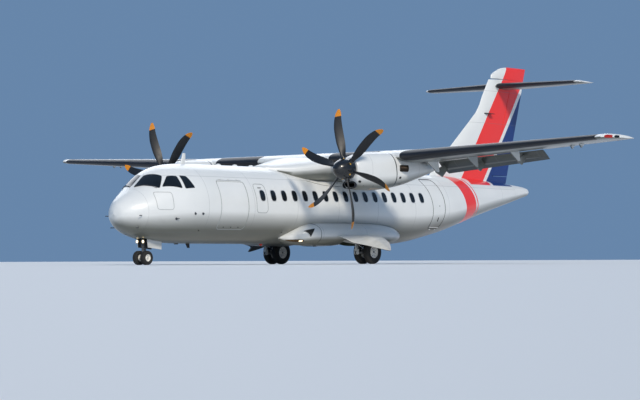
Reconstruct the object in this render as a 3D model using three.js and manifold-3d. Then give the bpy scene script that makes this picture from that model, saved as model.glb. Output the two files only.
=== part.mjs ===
// A twin-engined turboprop airliner with a high wing and a T-tail, parked on its wheels.
// Millimetres, +Z up. +X points to the aircraft's left (port) and -Y to its nose. The origin is on the
// ground below the middle of the aircraft. A station is a distance aft of the nose tip.
import * as THREE from 'three';
import { mergeVertices } from 'three/addons/utils/BufferGeometryUtils.js';
import Module from 'manifold-3d';

const wasm = await Module();
wasm.setup();

// Driving dimensions
const LENGTH = 22670;
const SPAN = 24570;
const HEIGHT = 7590;
const GAP = 0.3; // between pieces that are fixed together
const PIN_GAP = 0.8; // round a pin or axle that turns
const CLEAR = 6; // between pieces that move
const DEGREE = Math.PI / 180;

const CABIN_HALF_WIDTH = 1432.5;
const RADOME_END = 720; // station of the radome's joint
const TAIL_CONE_START = 21250;

const WING_BREAK = 4900; // the wing is parallel inboard of this, and tapers outboard
const WING_TIP_START = 12000;
const WING_ROOT_LEAD = 8550; // station of the leading edge at the root
const WING_ROOT_CHORD = 2570;
const WING_TIP_LEAD = 9130;
const WING_TIP_CHORD = 1460;
const WING_ROOT_HEIGHT = 3530; // height of the chord line at a quarter of the chord
const DIHEDRAL = 3 * DEGREE;
const INCIDENCE = 1.5 * DEGREE;
const WING_THICKNESS = [0.165, 0.125]; // share of the chord at the root and the tip

const AILERON = { from: 9130, to: 11900, hinge: 0.72, travel: 14, fairings: [10150, 10500] };
const FLAPS = [
  { name: 'inner', from: 1420, to: 3500, endGap: 12, brackets: [1900, 3050] },
  { name: 'outer', from: 4645, to: 8950, endGap: 50, brackets: [4850, 6480, 8180] },
];
const FLAP_SPLIT = 0.74; // share of the chord that lies ahead of the flap
const FLAP_REST = 30 * DEGREE; // how far down the flaps stand
const FLAP_HINGE_AHEAD = 100; // at the root the flap's hinge is this far ahead of its nose and
const FLAP_HINGE_DROP = 440; // this far below the wing's chord line
const SHROUD = { to: 0.85, thick: 15 }; // the wing's upper skin reaches back over the flaps

const ENGINE_OFFSET = 4050;
const SHAFT_HEIGHT = 3065;
const PROPELLER_STATION = 6440;
const PROPELLER_RADIUS = 1965;
const BLADES = 6;
const BLADE_ANGLE = { port: 37.7, starboard: 47.6 }; // of the first blade's tip, from +X towards +Z
const ENGINE_SIZE = [660, 2130, 740];

const MAIN_AXLE = 10070; // station
const WHEELBASE = 8780;
const TRACK = 4100;
const MAIN_TYRE = { radius: 406.5, width: 224, hub: 205, spacing: 415, axle: 45 };
const NOSE_TYRE = { radius: 225, width: 190, hub: 112, spacing: 330, axle: 24 };

const TAILPLANE_HEIGHT = 6820;
const TAILPLANE_HALF_SPAN = 3655;
const RUDDER_TRAVEL = 27;
const ELEVATOR_TRAVEL = [-13, 23]; // up is positive

const PASSENGER_DOOR = { from: 14690, to: 15440, low: 1300, high: 3030, depth: 530, wall: 60, edge: 1300 };
const CARGO_DOOR = { from: 3430, to: 4705, low: 1150, high: 2680, depth: 750, wall: 60, edge: 2680 };
const SERVICE_DOOR = { from: 14500, to: 15110, low: 1300, high: 2520, wall: 40 };
const HATCH = { from: 5130, to: 5640, low: 1700, high: 2610, wall: 30 };

const y = (station) => station - LENGTH / 2;

// Materials, by what the pieces are made of
const paint = (colour, roughness = 0.35, metalness = 0) =>
  new THREE.MeshStandardMaterial({ color: colour, roughness, metalness });
const WHITE = paint('#e9ebea');
const GREY = paint('#b9bdbf', 0.45);
const RED = paint('#d9302f');
const BLADE_BLACK = paint('#15171a', 0.5);
const RUBBER = paint('#17181a', 0.9);
const STEEL = paint('#c9ccce', 0.3, 0.8);
const DARK_METAL = paint('#3a3d40', 0.5, 0.7);

const plane = new THREE.Group();

function keep(name, geometry, material) {
  const mesh = new THREE.Mesh(geometry, material);
  mesh.name = name;
  plane.add(mesh);
  return mesh;
}

// Only the sign counts: it says whether the faces point out
function signedVolume(points, faces) {
  const corner = [new THREE.Vector3(), new THREE.Vector3(), new THREE.Vector3()];
  let sum = 0;
  for (let i = 0; i < faces.length; i += 3) {
    corner.forEach((spot, k) => spot.fromArray(points, 3 * faces[i + k]));
    sum += corner[0].dot(corner[1].clone().cross(corner[2]));
  }
  return sum;
}

function solid(geometry) {
  const bare = geometry.clone();
  bare.deleteAttribute('normal');
  bare.deleteAttribute('uv');
  const merged = mergeVertices(bare, 1e-3);
  const points = merged.attributes.position.array;
  const faces = Array.from(merged.index.array);
  const kept = [];
  const outward = signedVolume(points, faces) > 0;
  for (let i = 0; i < faces.length; i += 3) {
    const [a, b, c] = faces.slice(i, i + 3);
    if (a === b || b === c || a === c) continue;
    kept.push(...(outward ? [a, b, c] : [a, c, b]));
  }
  const mesh = new wasm.Mesh({
    numProp: 3,
    vertProperties: Float32Array.from(points),
    triVerts: Uint32Array.from(kept),
  });
  return new wasm.Manifold(mesh);
}

function shape(body) {
  const { vertProperties, triVerts } = body.getMesh();
  const geometry = new THREE.BufferGeometry();
  geometry.setAttribute('position', new THREE.BufferAttribute(new Float32Array(vertProperties), 3));
  geometry.setIndex(new THREE.BufferAttribute(new Uint32Array(triVerts), 1));
  return geometry;
}

const join = (...bodies) => bodies.reduce((whole, body) => whole.add(body));
const cut = (body, ...tools) => tools.reduce((rest, tool) => rest.subtract(tool), body);

// A block between two corners, with stations for Y
function block([x0, x1], [s0, s1], [z0, z1]) {
  const geometry = new THREE.BoxGeometry(x1 - x0, s1 - s0, z1 - z0);
  geometry.translate((x0 + x1) / 2, y((s0 + s1) / 2), (z0 + z1) / 2);
  return solid(geometry);
}

// A round bar or cone from one point to another; a point is [x, station, z]
function bar(from, to, radius, endRadius = radius, sides = 12) {
  const start = new THREE.Vector3(from[0], y(from[1]), from[2]);
  const end = new THREE.Vector3(to[0], y(to[1]), to[2]);
  const run = end.clone().sub(start);
  const geometry = new THREE.CylinderGeometry(endRadius, radius, run.length(), sides);
  geometry.translate(0, run.length() / 2, 0);
  const up = new THREE.Vector3(0, 1, 0);
  geometry.applyQuaternion(new THREE.Quaternion().setFromUnitVectors(up, run.normalize()));
  geometry.translate(...start.toArray());
  return solid(geometry);
}

// A body whose outline is the same all along, but placed by each row of a table
function loft(outline, rows, place, curveSegments = 12) {
  const last = rows.length - 1;
  const geometry = new THREE.ExtrudeGeometry(outline, {
    depth: last, steps: last, bevelEnabled: false, curveSegments,
  });
  const spot = geometry.attributes.position;
  for (let i = 0; i < spot.count; i += 1) {
    const row = rows[Math.round(spot.getZ(i))];
    spot.setXYZ(i, ...place(row, spot.getX(i), spot.getY(i)));
  }
  return solid(geometry);
}

// A flat plate: its outline in stations and heights, its thickness across X
function plate(points, [x0, x1]) {
  const outline = new THREE.Shape(points.map(([station, z]) => new THREE.Vector2(y(station), z)));
  const geometry = new THREE.ExtrudeGeometry(outline, { depth: x1 - x0, bevelEnabled: false });
  const turn = new THREE.Matrix4().makeBasis(
    new THREE.Vector3(0, 1, 0), new THREE.Vector3(0, 0, 1), new THREE.Vector3(1, 0, 0));
  geometry.applyMatrix4(turn);
  geometry.translate(x0, 0, 0);
  return solid(geometry);
}

// A body turned about the line from one point to another
function turned(body, [from, to], angle) {
  const [start, end] = [from, to].map(([x, station, z]) => new THREE.Vector3(x, y(station), z));
  const turn = new THREE.Matrix4().makeRotationAxis(end.sub(start).normalize(), angle);
  const matrix = new THREE.Matrix4().makeTranslation(...start.toArray())
    .multiply(turn)
    .multiply(new THREE.Matrix4().makeTranslation(...start.negate().toArray()));
  return body.transform(matrix.elements);
}

const circle = new THREE.Shape().absarc(0, 0, 1, 0, 2 * Math.PI, false);

// Half the thickness of a symmetric aerofoil of unit chord and unit thickness
const halfThickness = (u) =>
  5 * (0.2969 * Math.sqrt(u) - 0.126 * u - 0.3516 * u ** 2 + 0.2843 * u ** 3 - 0.1036 * u ** 4);

function aerofoil(perSide = 9) {
  const points = [];
  for (let i = 0; i <= perSide; i += 1) {
    const u = (1 + Math.cos(Math.PI * i / perSide)) / 2;
    points.push(new THREE.Vector2(u, Math.max(halfThickness(u), 0.012)));
  }
  for (let i = perSide - 1; i >= 0; i -= 1) {
    const u = (1 + Math.cos(Math.PI * i / perSide)) / 2;
    points.push(new THREE.Vector2(u, -Math.max(halfThickness(u), 0.012)));
  }
  points[perSide].y = 0;
  return new THREE.Shape(points);
}

// The value of one column of a table at a station between its rows
function between(rows, column, at, by = 0) {
  const next = rows.findIndex((row) => row[by] >= at);
  if (next < 0) return rows[rows.length - 1][column];
  if (next === 0) return rows[0][column];
  const [low, high] = [rows[next - 1], rows[next]];
  const share = (at - low[by]) / (high[by] - low[by]);
  return low[column] + share * (high[column] - low[column]);
}

// Fuselage: station, half width, top, height of the widest point, bottom
const FUSELAGE = [
  [0, 25, 1635, 1610, 1585],
  [60, 230, 1850, 1612, 1372],
  [180, 400, 1990, 1615, 1220],
  [400, 610, 2165, 1625, 1065],
  [700, 820, 2370, 1645, 930],
  [900, 925, 2520, 1660, 868],
  [1150, 1040, 2730, 1690, 812],
  [1450, 1155, 2950, 1725, 765],
  [1800, 1260, 3110, 1765, 725],
  [2300, 1360, 3210, 1800, 695],
  [2900, 1415, 3250, 1822, 682],
  [3600, CABIN_HALF_WIDTH, 3262, 1830, 680],
  [13000, CABIN_HALF_WIDTH, 3262, 1830, 680],
  [13700, 1430, 3262, 1840, 700],
  [14400, 1418, 3262, 1870, 768],
  [15200, 1378, 3262, 1930, 905],
  [16250, 1290, 3258, 2030, 1110],
  [17400, 1135, 3235, 2180, 1395],
  [18550, 945, 3195, 2340, 1690],
  [19600, 750, 3140, 2490, 1935],
  [20500, 575, 3085, 2590, 2140],
  [21500, 385, 3025, 2690, 2370],
  [22200, 250, 2965, 2750, 2540],
  [22500, 180, 2915, 2765, 2610],
  [22620, 100, 2865, 2768, 2680],
  [LENGTH, 25, 2795, 2768, 2740],
];

function fuselageBody(grow = 0) {
  return loft(circle, FUSELAGE, ([station, half, top, mid, bottom], u, v) => [
    (half + grow) * u,
    y(station),
    mid + v * (v > 0 ? top - mid + grow : mid - bottom + grow),
  ], 14);
}

const hull = fuselageBody();
const hullClear = fuselageBody(GAP);

const skinX = (station, z) => {
  const [half, top, mid, bottom] = [1, 2, 3, 4].map((column) => between(FUSELAGE, column, station));
  const rise = z > mid ? (z - mid) / (top - mid) : (mid - z) / (mid - bottom);
  return half * Math.sqrt(1 - rise * rise);
};

// Wing: distance from the centre line, leading edge, chord, height of the chord line, thickness
const WING = [0, WING_BREAK, WING_TIP_START].map((x) => {
  const share = Math.max(0, x - WING_BREAK) / (WING_TIP_START - WING_BREAK);
  return [
    x,
    WING_ROOT_LEAD + share * (WING_TIP_LEAD - WING_ROOT_LEAD),
    WING_ROOT_CHORD + share * (WING_TIP_CHORD - WING_ROOT_CHORD),
    WING_ROOT_HEIGHT + Math.max(0, x - WING_BREAK) * Math.tan(DIHEDRAL),
    WING_THICKNESS[0] + share * (WING_THICKNESS[1] - WING_THICKNESS[0]),
  ];
});

// A point of a wing section: u runs aft along the chord and v is in units of the thickness
function wingPoint([x, lead, chord, height, thick], u, v, grow = 0) {
  const camber = 0.08 * u * (1 - u) * chord;
  const back = (u - 0.25) * (chord + 2 * grow);
  const rise = v * (chord * thick + 2 * grow) + camber;
  return [
    x,
    y(lead + 0.25 * chord + back * Math.cos(INCIDENCE) + rise * Math.sin(INCIDENCE)),
    height - back * Math.sin(INCIDENCE) + rise * Math.cos(INCIDENCE),
  ];
}

function wingAt(x) {
  return [x, ...[1, 2, 3, 4].map((column) => between(WING, column, x))];
}

function wingBody(grow = 0) {
  const rows = [[-1, 2], [-1, 1], [1, 0], [1, 1], [1, 2]].map(([side, index]) => [side, WING[index]]);
  return loft(aerofoil(9), rows, ([side, row], u, v) => {
    const [x, back, up] = wingPoint(row, u, v, grow);
    return [side * x, back, up];
  });
}

// Wing tip fairing: distance from the centre line, leading edge, chord, share of the thickness
const TIP = [
  [WING_TIP_START + GAP, WING_TIP_LEAD, WING_TIP_CHORD, 1],
  [12110, 9230, 1380, 0.92],
  [12200, 9440, 1180, 0.78],
  [12260, 9680, 950, 0.6],
  [SPAN / 2, 9950, 690, 0.4],
];
const wingTip = loft(aerofoil(9), TIP, ([x, lead, chord, share], u, v) => {
  const [, , , height, thick] = wingAt(x);
  return wingPoint([x, lead, chord, height, thick * share * WING_TIP_CHORD / chord], u, v);
});

const wingSolid = wingBody();
const wingClear = wingBody(GAP);

// A point on the wing's chord line as [x, station, z]
function chordPoint(x, u, v = 0) {
  const [px, py, pz] = wingPoint(wingAt(x), u, v);
  return [px, py + LENGTH / 2, pz];
}

const halfDepth = (x, u) => wingAt(x)[2] * wingAt(x)[4] * halfThickness(u);

// Both sides of the aircraft get a copy of the same piece
const SIDES = [['port', 1], ['starboard', -1]];

function pair(name, body, material) {
  const geometry = shape(body);
  const mirrored = shape(body.mirror([1, 0, 0]));
  keep(`${name}_port`, geometry, material);
  keep(`${name}_starboard`, mirrored, material);
}

const mirror = (body) => body.mirror([1, 0, 0]);
const both = (body) => join(body, mirror(body));

// Ailerons: each turns about a straight hinge line; its nose is a cone about that line
function surfaceCut(from, to, hingeShare, travel) {
  const [inner, outer] = [chordPoint(from, hingeShare), chordPoint(to, hingeShare)];
  const radii = [from, to].map((x) => halfDepth(x, hingeShare) * 0.96);
  const setBack = Math.max(...radii) * Math.sin(travel * DEGREE) + CLEAR;
  const behind = (x0, x1, shift) => {
    const span = [inner, outer].map((point) => point[1] + shift);
    const slope = (span[1] - span[0]) / (to - from);
    const at = (x) => span[0] + slope * (x - from);
    const outline = new THREE.Shape([
      new THREE.Vector2(x0, y(at(x0))), new THREE.Vector2(x1, y(at(x1))),
      new THREE.Vector2(x1, y(13000)), new THREE.Vector2(x0, y(13000)),
    ]);
    const geometry = new THREE.ExtrudeGeometry(outline, { depth: 3000, bevelEnabled: false });
    geometry.translate(0, 0, 2500);
    return solid(geometry);
  };
  const endGap = 2 * CLEAR;
  const pin = bar(at3(inner, outer, -60), at3(inner, outer, to - from + 60), 14);
  const pinHole = bar(at3(inner, outer, -62), at3(inner, outer, to - from + 62), 14 + PIN_GAP);
  const nose = bar(inner, outer, ...radii);
  const cove = bar(
    at3(inner, outer, -endGap), at3(inner, outer, to - from + endGap),
    radii[0] + CLEAR, radii[1] + CLEAR);
  return {
    moving: join(wingSolid.intersect(behind(from, to, 0)), nose, pin),
    hole: join(behind(from - endGap, to + endGap, -setBack), cove, pinHole),
    inner,
    outer,
  };
}

// A point on the line from a to b, at a distance along X from a
function at3(a, b, along) {
  const share = along / (b[0] - a[0]);
  return a.map((value, i) => value + share * (b[i] - value));
}

const aileron = surfaceCut(AILERON.from, AILERON.to, AILERON.hinge, AILERON.travel);

// A small fairing below an aileron, as stations and heights from its hinge
const AILERON_FAIRING = [[35, -60], [150, -165], [330, -30], [300, 0], [35, 0]];
const aileronFairings = AILERON.fairings.map((x) => {
  const [, station, z] = chordPoint(x, AILERON.hinge);
  return plate(AILERON_FAIRING.map(([back, up]) => [station + back, z + up]), [x - 22, x + 22]);
});

// Flaps: each has its own section, and hangs from brackets on a hinge below the wing. Distances of the
// hinge and its arms shrink with the chord.
const FLAP_BULK = 0.75; // the flap's thickness as a share of the wing's depth where it is split
const FLAP_SLOPE = 0.095; // how far its back edge lies below its nose when it is up
const ARM_AT = [-84, -48]; // the arm's two faces, from the middle of its bracket
const FLAP_PIN = 22;
const FLAP_ARM = [[-45, 20], [-20, -50], [330, -190], [640, 90], [440, 225], [20, 46]];

function flapParts({ from, to, endGap, brackets }) {
  const rowAt = (x) => {
    const chord = wingAt(x)[2];
    const [, station, z] = chordPoint(x, FLAP_SPLIT);
    return { x, station, z, chord: chord * (1 - FLAP_SPLIT), thick: halfDepth(x, FLAP_SPLIT) * FLAP_BULK };
  };
  const hingeOf = ({ x, station, z }) => {
    const scale = wingAt(x)[2] / WING_ROOT_CHORD;
    return [x, station - FLAP_HINGE_AHEAD * scale, z - FLAP_HINGE_DROP * scale];
  };
  const rows = [from, to].map(rowAt);
  const axis = rows.map(hingeOf);
  const raised = loft(aerofoil(8), rows, ({ x, station, z, chord, thick }, u, v) => [
    x, y(station + u * chord), z + v * thick - u * FLAP_SLOPE * chord,
  ]);
  const lowered = turned(raised, axis, -FLAP_REST);
  const hingeBar = (x0, x1, radius) => bar(
    at3(...axis, x0 - axis[0][0]), at3(...axis, x1 - axis[0][0]), radius);
  const arms = brackets.map((x) => {
    const [, station, z] = hingeOf(rowAt(x));
    const scale = wingAt(x)[2] / WING_ROOT_CHORD;
    const [near, far] = ARM_AT.map((shift) => x + shift);
    const arm = join(
      plate(FLAP_ARM.map(([back, up]) => [station + back * scale, z + up * scale]), [near, far]),
      hingeBar(near, far, 46));
    return cut(arm, hingeBar(near - 20, far + 20, FLAP_PIN + PIN_GAP));
  });
  const mounts = brackets.map((x) => {
    const [, station, z] = hingeOf(rowAt(x));
    const fore = chordPoint(x, 0.42, -0.3);
    const aft = chordPoint(x, FLAP_SPLIT - 0.04, -0.1);
    return join(
      plate([[fore[1], fore[2]], [station - 60, z - 40], [station + 50, z - 40],
        [station + 50, z + 20], [aft[1], aft[2]]], [x - 20, x + 20]),
      hingeBar(x + ARM_AT[0], x + 20, FLAP_PIN));
  });
  // The wing is open behind a front wall and below the shroud, and ends at the shroud's edge
  const wall = FLAP_SPLIT - 0.012;
  const outline = new THREE.Shape([
    [wall, -2], [1.3, -2], [1.3, 2], [SHROUD.to, 2], [SHROUD.to, 1], [wall, 1],
  ].map(([u, v]) => new THREE.Vector2(u, v)));
  const hole = loft(outline, [from - endGap, to + 2 * CLEAR], (x, u, v) => {
    const row = wingAt(x);
    return wingPoint(row, u, v === 1 ? halfThickness(u) - SHROUD.thick / (row[2] * row[4]) : v);
  });
  return { moving: join(lowered, ...arms), mounts: join(...mounts), hole, axis };
}

const flaps = FLAPS.map((row) => ({ ...row, ...flapParts(row) }));

const wing = join(
  cut(
    wingSolid,
    both(aileron.hole),
    ...flaps.map(({ hole }) => both(hole)),
  ),
  ...flaps.map(({ mounts }) => both(mounts)),
);

// Wing root fairing, from the cabin's roof out on to the wing: station, half width, top, height of the
// widest point, bottom
const SADDLE = [
  [6650, 300, 3290, 3200, 3000],
  [7000, 620, 3350, 3180, 2850],
  [7500, 980, 3440, 3180, 2740],
  [8000, 1290, 3530, 3240, 2680],
  [8500, 1530, 3630, 3340, 2640],
  [9000, 1600, 3740, 3400, 2620],
  [9500, 1600, 3800, 3400, 2620],
  [10500, 1590, 3790, 3400, 2640],
  [11200, 1520, 3700, 3340, 2680],
  [12000, 1270, 3550, 3230, 2740],
  [12800, 900, 3400, 3140, 2820],
  [13500, 420, 3285, 3100, 2950],
];
const saddle = cut(
  loft(circle, SADDLE, ([station, half, top, mid, bottom], u, v) => [
    half * u, y(station), mid + v * (v > 0 ? top - mid : mid - bottom),
  ], 14),
  hullClear,
  wingClear,
  ...flaps.map(({ hole }) => both(hole)),
);

// Nacelle: station, half width, top, height of the widest point, bottom
const NACELLE = [
  [6640, 350, 3420, 3065, 2600],
  [6720, 400, 3480, 3060, 2440],
  [7050, 455, 3580, 3050, 2400],
  [7500, 485, 3640, 3050, 2400],
  [8500, 500, 3680, 3060, 2490],
  [9200, 500, 3650, 3090, 2610],
  [9900, 460, 3560, 3150, 2800],
  [10500, 360, 3480, 3200, 2960],
  [11150, 130, 3380, 3250, 3140],
];
const nacelleLoft = (grow) => loft(circle, NACELLE, ([station, half, top, mid, bottom], u, v) => [
  ENGINE_OFFSET + (half + grow) * Math.sign(u) * Math.abs(u) ** 0.85,
  y(station),
  mid + v * (v > 0 ? top - mid + grow : mid - bottom + grow),
], 10);
const ENGINE_START = 6790;
const engineBlock = block(
  [ENGINE_OFFSET - ENGINE_SIZE[0] / 2, ENGINE_OFFSET + ENGINE_SIZE[0] / 2],
  [ENGINE_START, ENGINE_START + ENGINE_SIZE[1]],
  [2620, 2620 + ENGINE_SIZE[2]]);
const engineBay = block(
  [ENGINE_OFFSET - ENGINE_SIZE[0] / 2 - 10, ENGINE_OFFSET + ENGINE_SIZE[0] / 2 + 10],
  [ENGINE_START - GAP, ENGINE_START + ENGINE_SIZE[1] + 10],
  [2620 - GAP, 2620 + ENGINE_SIZE[2] + 10]);
const INTAKE = { half: 230, low: 2460, high: 2660 };
const intakeCut = loft(circle, [[6500, 1], [7000, 0.85]], ([station, size], u, v) => [
  ENGINE_OFFSET + INTAKE.half * size * Math.sign(u) * Math.abs(u) ** 0.6,
  y(station),
  (INTAKE.low + INTAKE.high) / 2 + 20 * (1 - size) + v * size * (INTAKE.high - INTAKE.low) / 2,
], 8);
const SHAFT_RADIUS = 70;
const SHAFT_GAP = 2;
const shaftHole = bar(
  [ENGINE_OFFSET, 6500, SHAFT_HEIGHT], [ENGINE_OFFSET, ENGINE_START + 5, SHAFT_HEIGHT],
  SHAFT_RADIUS + SHAFT_GAP, SHAFT_RADIUS + SHAFT_GAP, 16);
const EXHAUST = { from: [450, 8700], to: [600, 8960], z: 3140, radius: 110, wall: 12 };
const exhaustBar = (radius, before, beyond) => {
  const [from, to] = [EXHAUST.from, EXHAUST.to].map(
    ([out, station]) => [ENGINE_OFFSET + out, station, EXHAUST.z]);
  return bar(at3(from, to, -before), at3(from, to, to[0] - from[0] + beyond), radius, radius, 16);
};
const exhaust = cut(
  exhaustBar(EXHAUST.radius, 0, 0),
  exhaustBar(EXHAUST.radius - EXHAUST.wall, -30, 30),
);
const nacelle = cut(
  nacelleLoft(0), wingClear, engineBay, intakeCut, shaftHole,
  exhaustBar(EXHAUST.radius + GAP, 1, 1),
  ...flaps.map(({ hole }) => hole),
);

// Propeller: a hub and its blades, one piece; station columns are radius from the shaft's axis,
// degrees that the blade leads its tip, chord, pitch in degrees from the plane it turns in, thickness
const BLADE = [
  [200, 6, 130, 80, 110],
  [420, 6, 170, 62, 80],
  [650, 6.2, 240, 50, 48],
  [950, 6.6, 290, 42, 34],
  [1300, 6.1, 285, 35, 26],
  [1600, 4.3, 245, 30, 18],
  [1830, 1.8, 180, 28, 12],
  [PROPELLER_RADIUS - 3, 0, 60, 26, 6],
];
const bladeOutline = aerofoil(4);

function blade(tipAngle) {
  return loft(bladeOutline, BLADE, ([radius, lead, chord, pitch, thick], u, v) => {
    const angle = (tipAngle + lead) * DEGREE;
    const [cos, sin] = [Math.cos(pitch * DEGREE), Math.sin(pitch * DEGREE)];
    const along = (0.4 - u) * chord;
    const across = v * thick;
    const round = along * cos + across * sin;
    const forward = along * sin - across * cos;
    return [
      ENGINE_OFFSET + radius * Math.cos(angle) - round * Math.sin(angle),
      y(PROPELLER_STATION) - forward,
      SHAFT_HEIGHT + radius * Math.sin(angle) + round * Math.cos(angle),
    ];
  });
}

const HUB_RADIUS = 250;
const SPINNER_RADIUS = 335;
function propeller(tipAngle) {
  const axis = (station) => [ENGINE_OFFSET, station, SHAFT_HEIGHT];
  const blades = Array.from({ length: BLADES }, (_, i) => blade(tipAngle + i * 360 / BLADES));
  return join(
    bar(axis(PROPELLER_STATION - 120), axis(PROPELLER_STATION + 140), HUB_RADIUS, HUB_RADIUS, 16),
    bar(axis(PROPELLER_STATION + 100), axis(ENGINE_START), SHAFT_RADIUS, SHAFT_RADIUS, 16),
    ...blades,
  );
}

// Spinner: distance ahead of its back edge, radius
const SPINNER = [[0, SPINNER_RADIUS], [200, SPINNER_RADIUS], [400, 292], [540, 215], [640, 105], [672, 0]];
function spinnerBody(tipAngle) {
  const back = PROPELLER_STATION + 150;
  const profile = [[0, 0], ...SPINNER].map(([ahead, radius]) => new THREE.Vector2(radius, ahead));
  const geometry = new THREE.LatheGeometry(profile, 16);
  geometry.rotateX(Math.PI);
  geometry.translate(ENGINE_OFFSET, y(back), SHAFT_HEIGHT);
  const axis = (station) => [ENGINE_OFFSET, station, SHAFT_HEIGHT];
  const bore = bar(
    axis(PROPELLER_STATION - 120 - GAP), axis(back + 5), HUB_RADIUS + GAP, HUB_RADIUS + GAP, 16);
  const roots = Array.from({ length: BLADES }, (_, i) => {
    const angle = (tipAngle + 6 + i * 360 / BLADES) * DEGREE;
    const reach = SPINNER_RADIUS + 20;
    const at = (radius) => [
      ENGINE_OFFSET + radius * Math.cos(angle), PROPELLER_STATION, SHAFT_HEIGHT + radius * Math.sin(angle)];
    return bar(at(150), at(reach), 106, 106, 8);
  });
  return cut(solid(geometry), bore, ...roots);
}

// Fin: height, leading edge, trailing edge, thickness. The rudder's hinge is a straight line.
const FIN_TOP = 7100;
const FIN = [
  [3060, 16100, 21200, 330],
  [3400, 16420, 21300, 325],
  [5420, 18880, 21930, 265],
  [5730, 19250, 22030, 255],
  [6020, 19480, 22120, 248],
  [6410, 19690, 22240, 240],
  [FIN_TOP, 20140, 22430, 225],
];
const RUDDER_HINGE = [[0, 20150, 3060], [0, 21560, FIN_TOP]];

// Tail surfaces share their sections: an aerofoil between a leading and a trailing edge
function finPoint([z, lead, trail, thick], u, v, grow = 0) {
  return [v * (thick + 2 * grow), y(lead - grow + u * (trail - lead + 2 * grow)), z];
}

const finSolid = loft(aerofoil(8), FIN, (row, u, v) => finPoint(row, u, v));
const rudderTop = [
  [FIN_TOP + CLEAR, 20240, 22430, 215],
  [7210, 20260, 22465, 210],
  [7400, 20560, 22520, 175],
  [7540, 20950, 22565, 110],
  [HEIGHT, 21350, 22575, 30],
];
const rudderHorn = loft(aerofoil(8), rudderTop, (row, u, v) => finPoint(row, u, v));

function hingeAt(z) {
  const share = (z - RUDDER_HINGE[0][2]) / (RUDDER_HINGE[1][2] - RUDDER_HINGE[0][2]);
  return [0, RUDDER_HINGE[0][1] + share * (RUDDER_HINGE[1][1] - RUDDER_HINGE[0][1]), z];
}

function finHalfDepth(z) {
  const [lead, trail, thick] = [1, 2, 3].map((column) => between(FIN, column, z));
  return thick * halfThickness((hingeAt(z)[1] - lead) / (trail - lead));
}

const RUDDER_FOOT = 3330;
const behindHinge = (shift, low, high) => plate([
  [hingeAt(low)[1] + shift, low], [24000, low], [24000, high], [hingeAt(high)[1] + shift, high],
], [-600, 600]);
const noseRadii = [RUDDER_FOOT, FIN_TOP].map((z) => finHalfDepth(z) * 0.96);
const rudderBack = Math.max(...noseRadii) * Math.sin(RUDDER_TRAVEL * DEGREE) + CLEAR;
const rudderNose = bar(hingeAt(RUDDER_FOOT + 20), hingeAt(FIN_TOP - 10), ...noseRadii);
const rudderCove = bar(
  hingeAt(RUDDER_FOOT - 10), hingeAt(FIN_TOP + 30), noseRadii[0] + CLEAR, noseRadii[1] + CLEAR);
const rudderPin = (grow) => bar(
  hingeAt(RUDDER_FOOT - 120 - grow), hingeAt(RUDDER_FOOT + 100), 22 + grow);
const RUDDER_POST = { radius: 30, sides: 16 };
const rudderPost = bar(
  hingeAt(FIN_TOP - 150), hingeAt(FIN_TOP + 100),
  RUDDER_POST.radius, RUDDER_POST.radius, RUDDER_POST.sides);
const rudder = join(
  finSolid.intersect(behindHinge(0, RUDDER_FOOT + 20, FIN_TOP)), rudderNose, rudderPost, rudderHorn,
  rudderPin(0));

// Tailplane: distance from the centre line, leading edge, trailing edge, thickness
const TAILPLANE = [
  [0, 20370, 22480, 250],
  [3450, 20800, 21900, 135],
  [3600, 20880, 21880, 90],
  [TAILPLANE_HALF_SPAN, 21000, 21850, 30],
];
const tailRows = [...TAILPLANE].reverse().map((row) => [-1, row])
  .concat(TAILPLANE.slice(1).map((row) => [1, row]));
const tailBody = (grow) => loft(aerofoil(8), tailRows, ([side, [x, lead, trail, thick]], u, v) => [
  side * (x + (x > 3600 ? grow : 0)), y(lead - grow + u * (trail - lead + 2 * grow)),
  TAILPLANE_HEIGHT + v * (thick + 2 * grow),
]);
const ELEVATOR = { from: 330, to: 3430, pin: 12 };
const ELEVATOR_HINGE = [[330, 21690], [3560, 21500]]; // distance from the centre line, station
const tailHinge = (x) => {
  const [[x0, s0], [x1, s1]] = ELEVATOR_HINGE;
  return [x, s0 + (x - x0) / (x1 - x0) * (s1 - s0), TAILPLANE_HEIGHT];
};
const tailHalfDepth = (x) => {
  const [lead, trail, thick] = [1, 2, 3].map((column) => between(TAILPLANE, column, x));
  return thick * halfThickness((tailHinge(x)[1] - lead) / (trail - lead));
};
const elevatorRadii = [ELEVATOR.from, ELEVATOR.to].map((x) => tailHalfDepth(x) * 0.96);
const elevatorBack = Math.max(...elevatorRadii) * Math.sin(ELEVATOR_TRAVEL[1] * DEGREE) + CLEAR;
const behindElevator = (x0, x1, shift) => {
  const outline = new THREE.Shape([
    new THREE.Vector2(x0, y(tailHinge(x0)[1] + shift)), new THREE.Vector2(x1, y(tailHinge(x1)[1] + shift)),
    new THREE.Vector2(x1, y(24000)), new THREE.Vector2(x0, y(24000)),
  ]);
  const geometry = new THREE.ExtrudeGeometry(outline, { depth: 800, bevelEnabled: false });
  geometry.translate(0, 0, TAILPLANE_HEIGHT - 400);
  return solid(geometry);
};
const tailSolid = tailBody(0);
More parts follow.
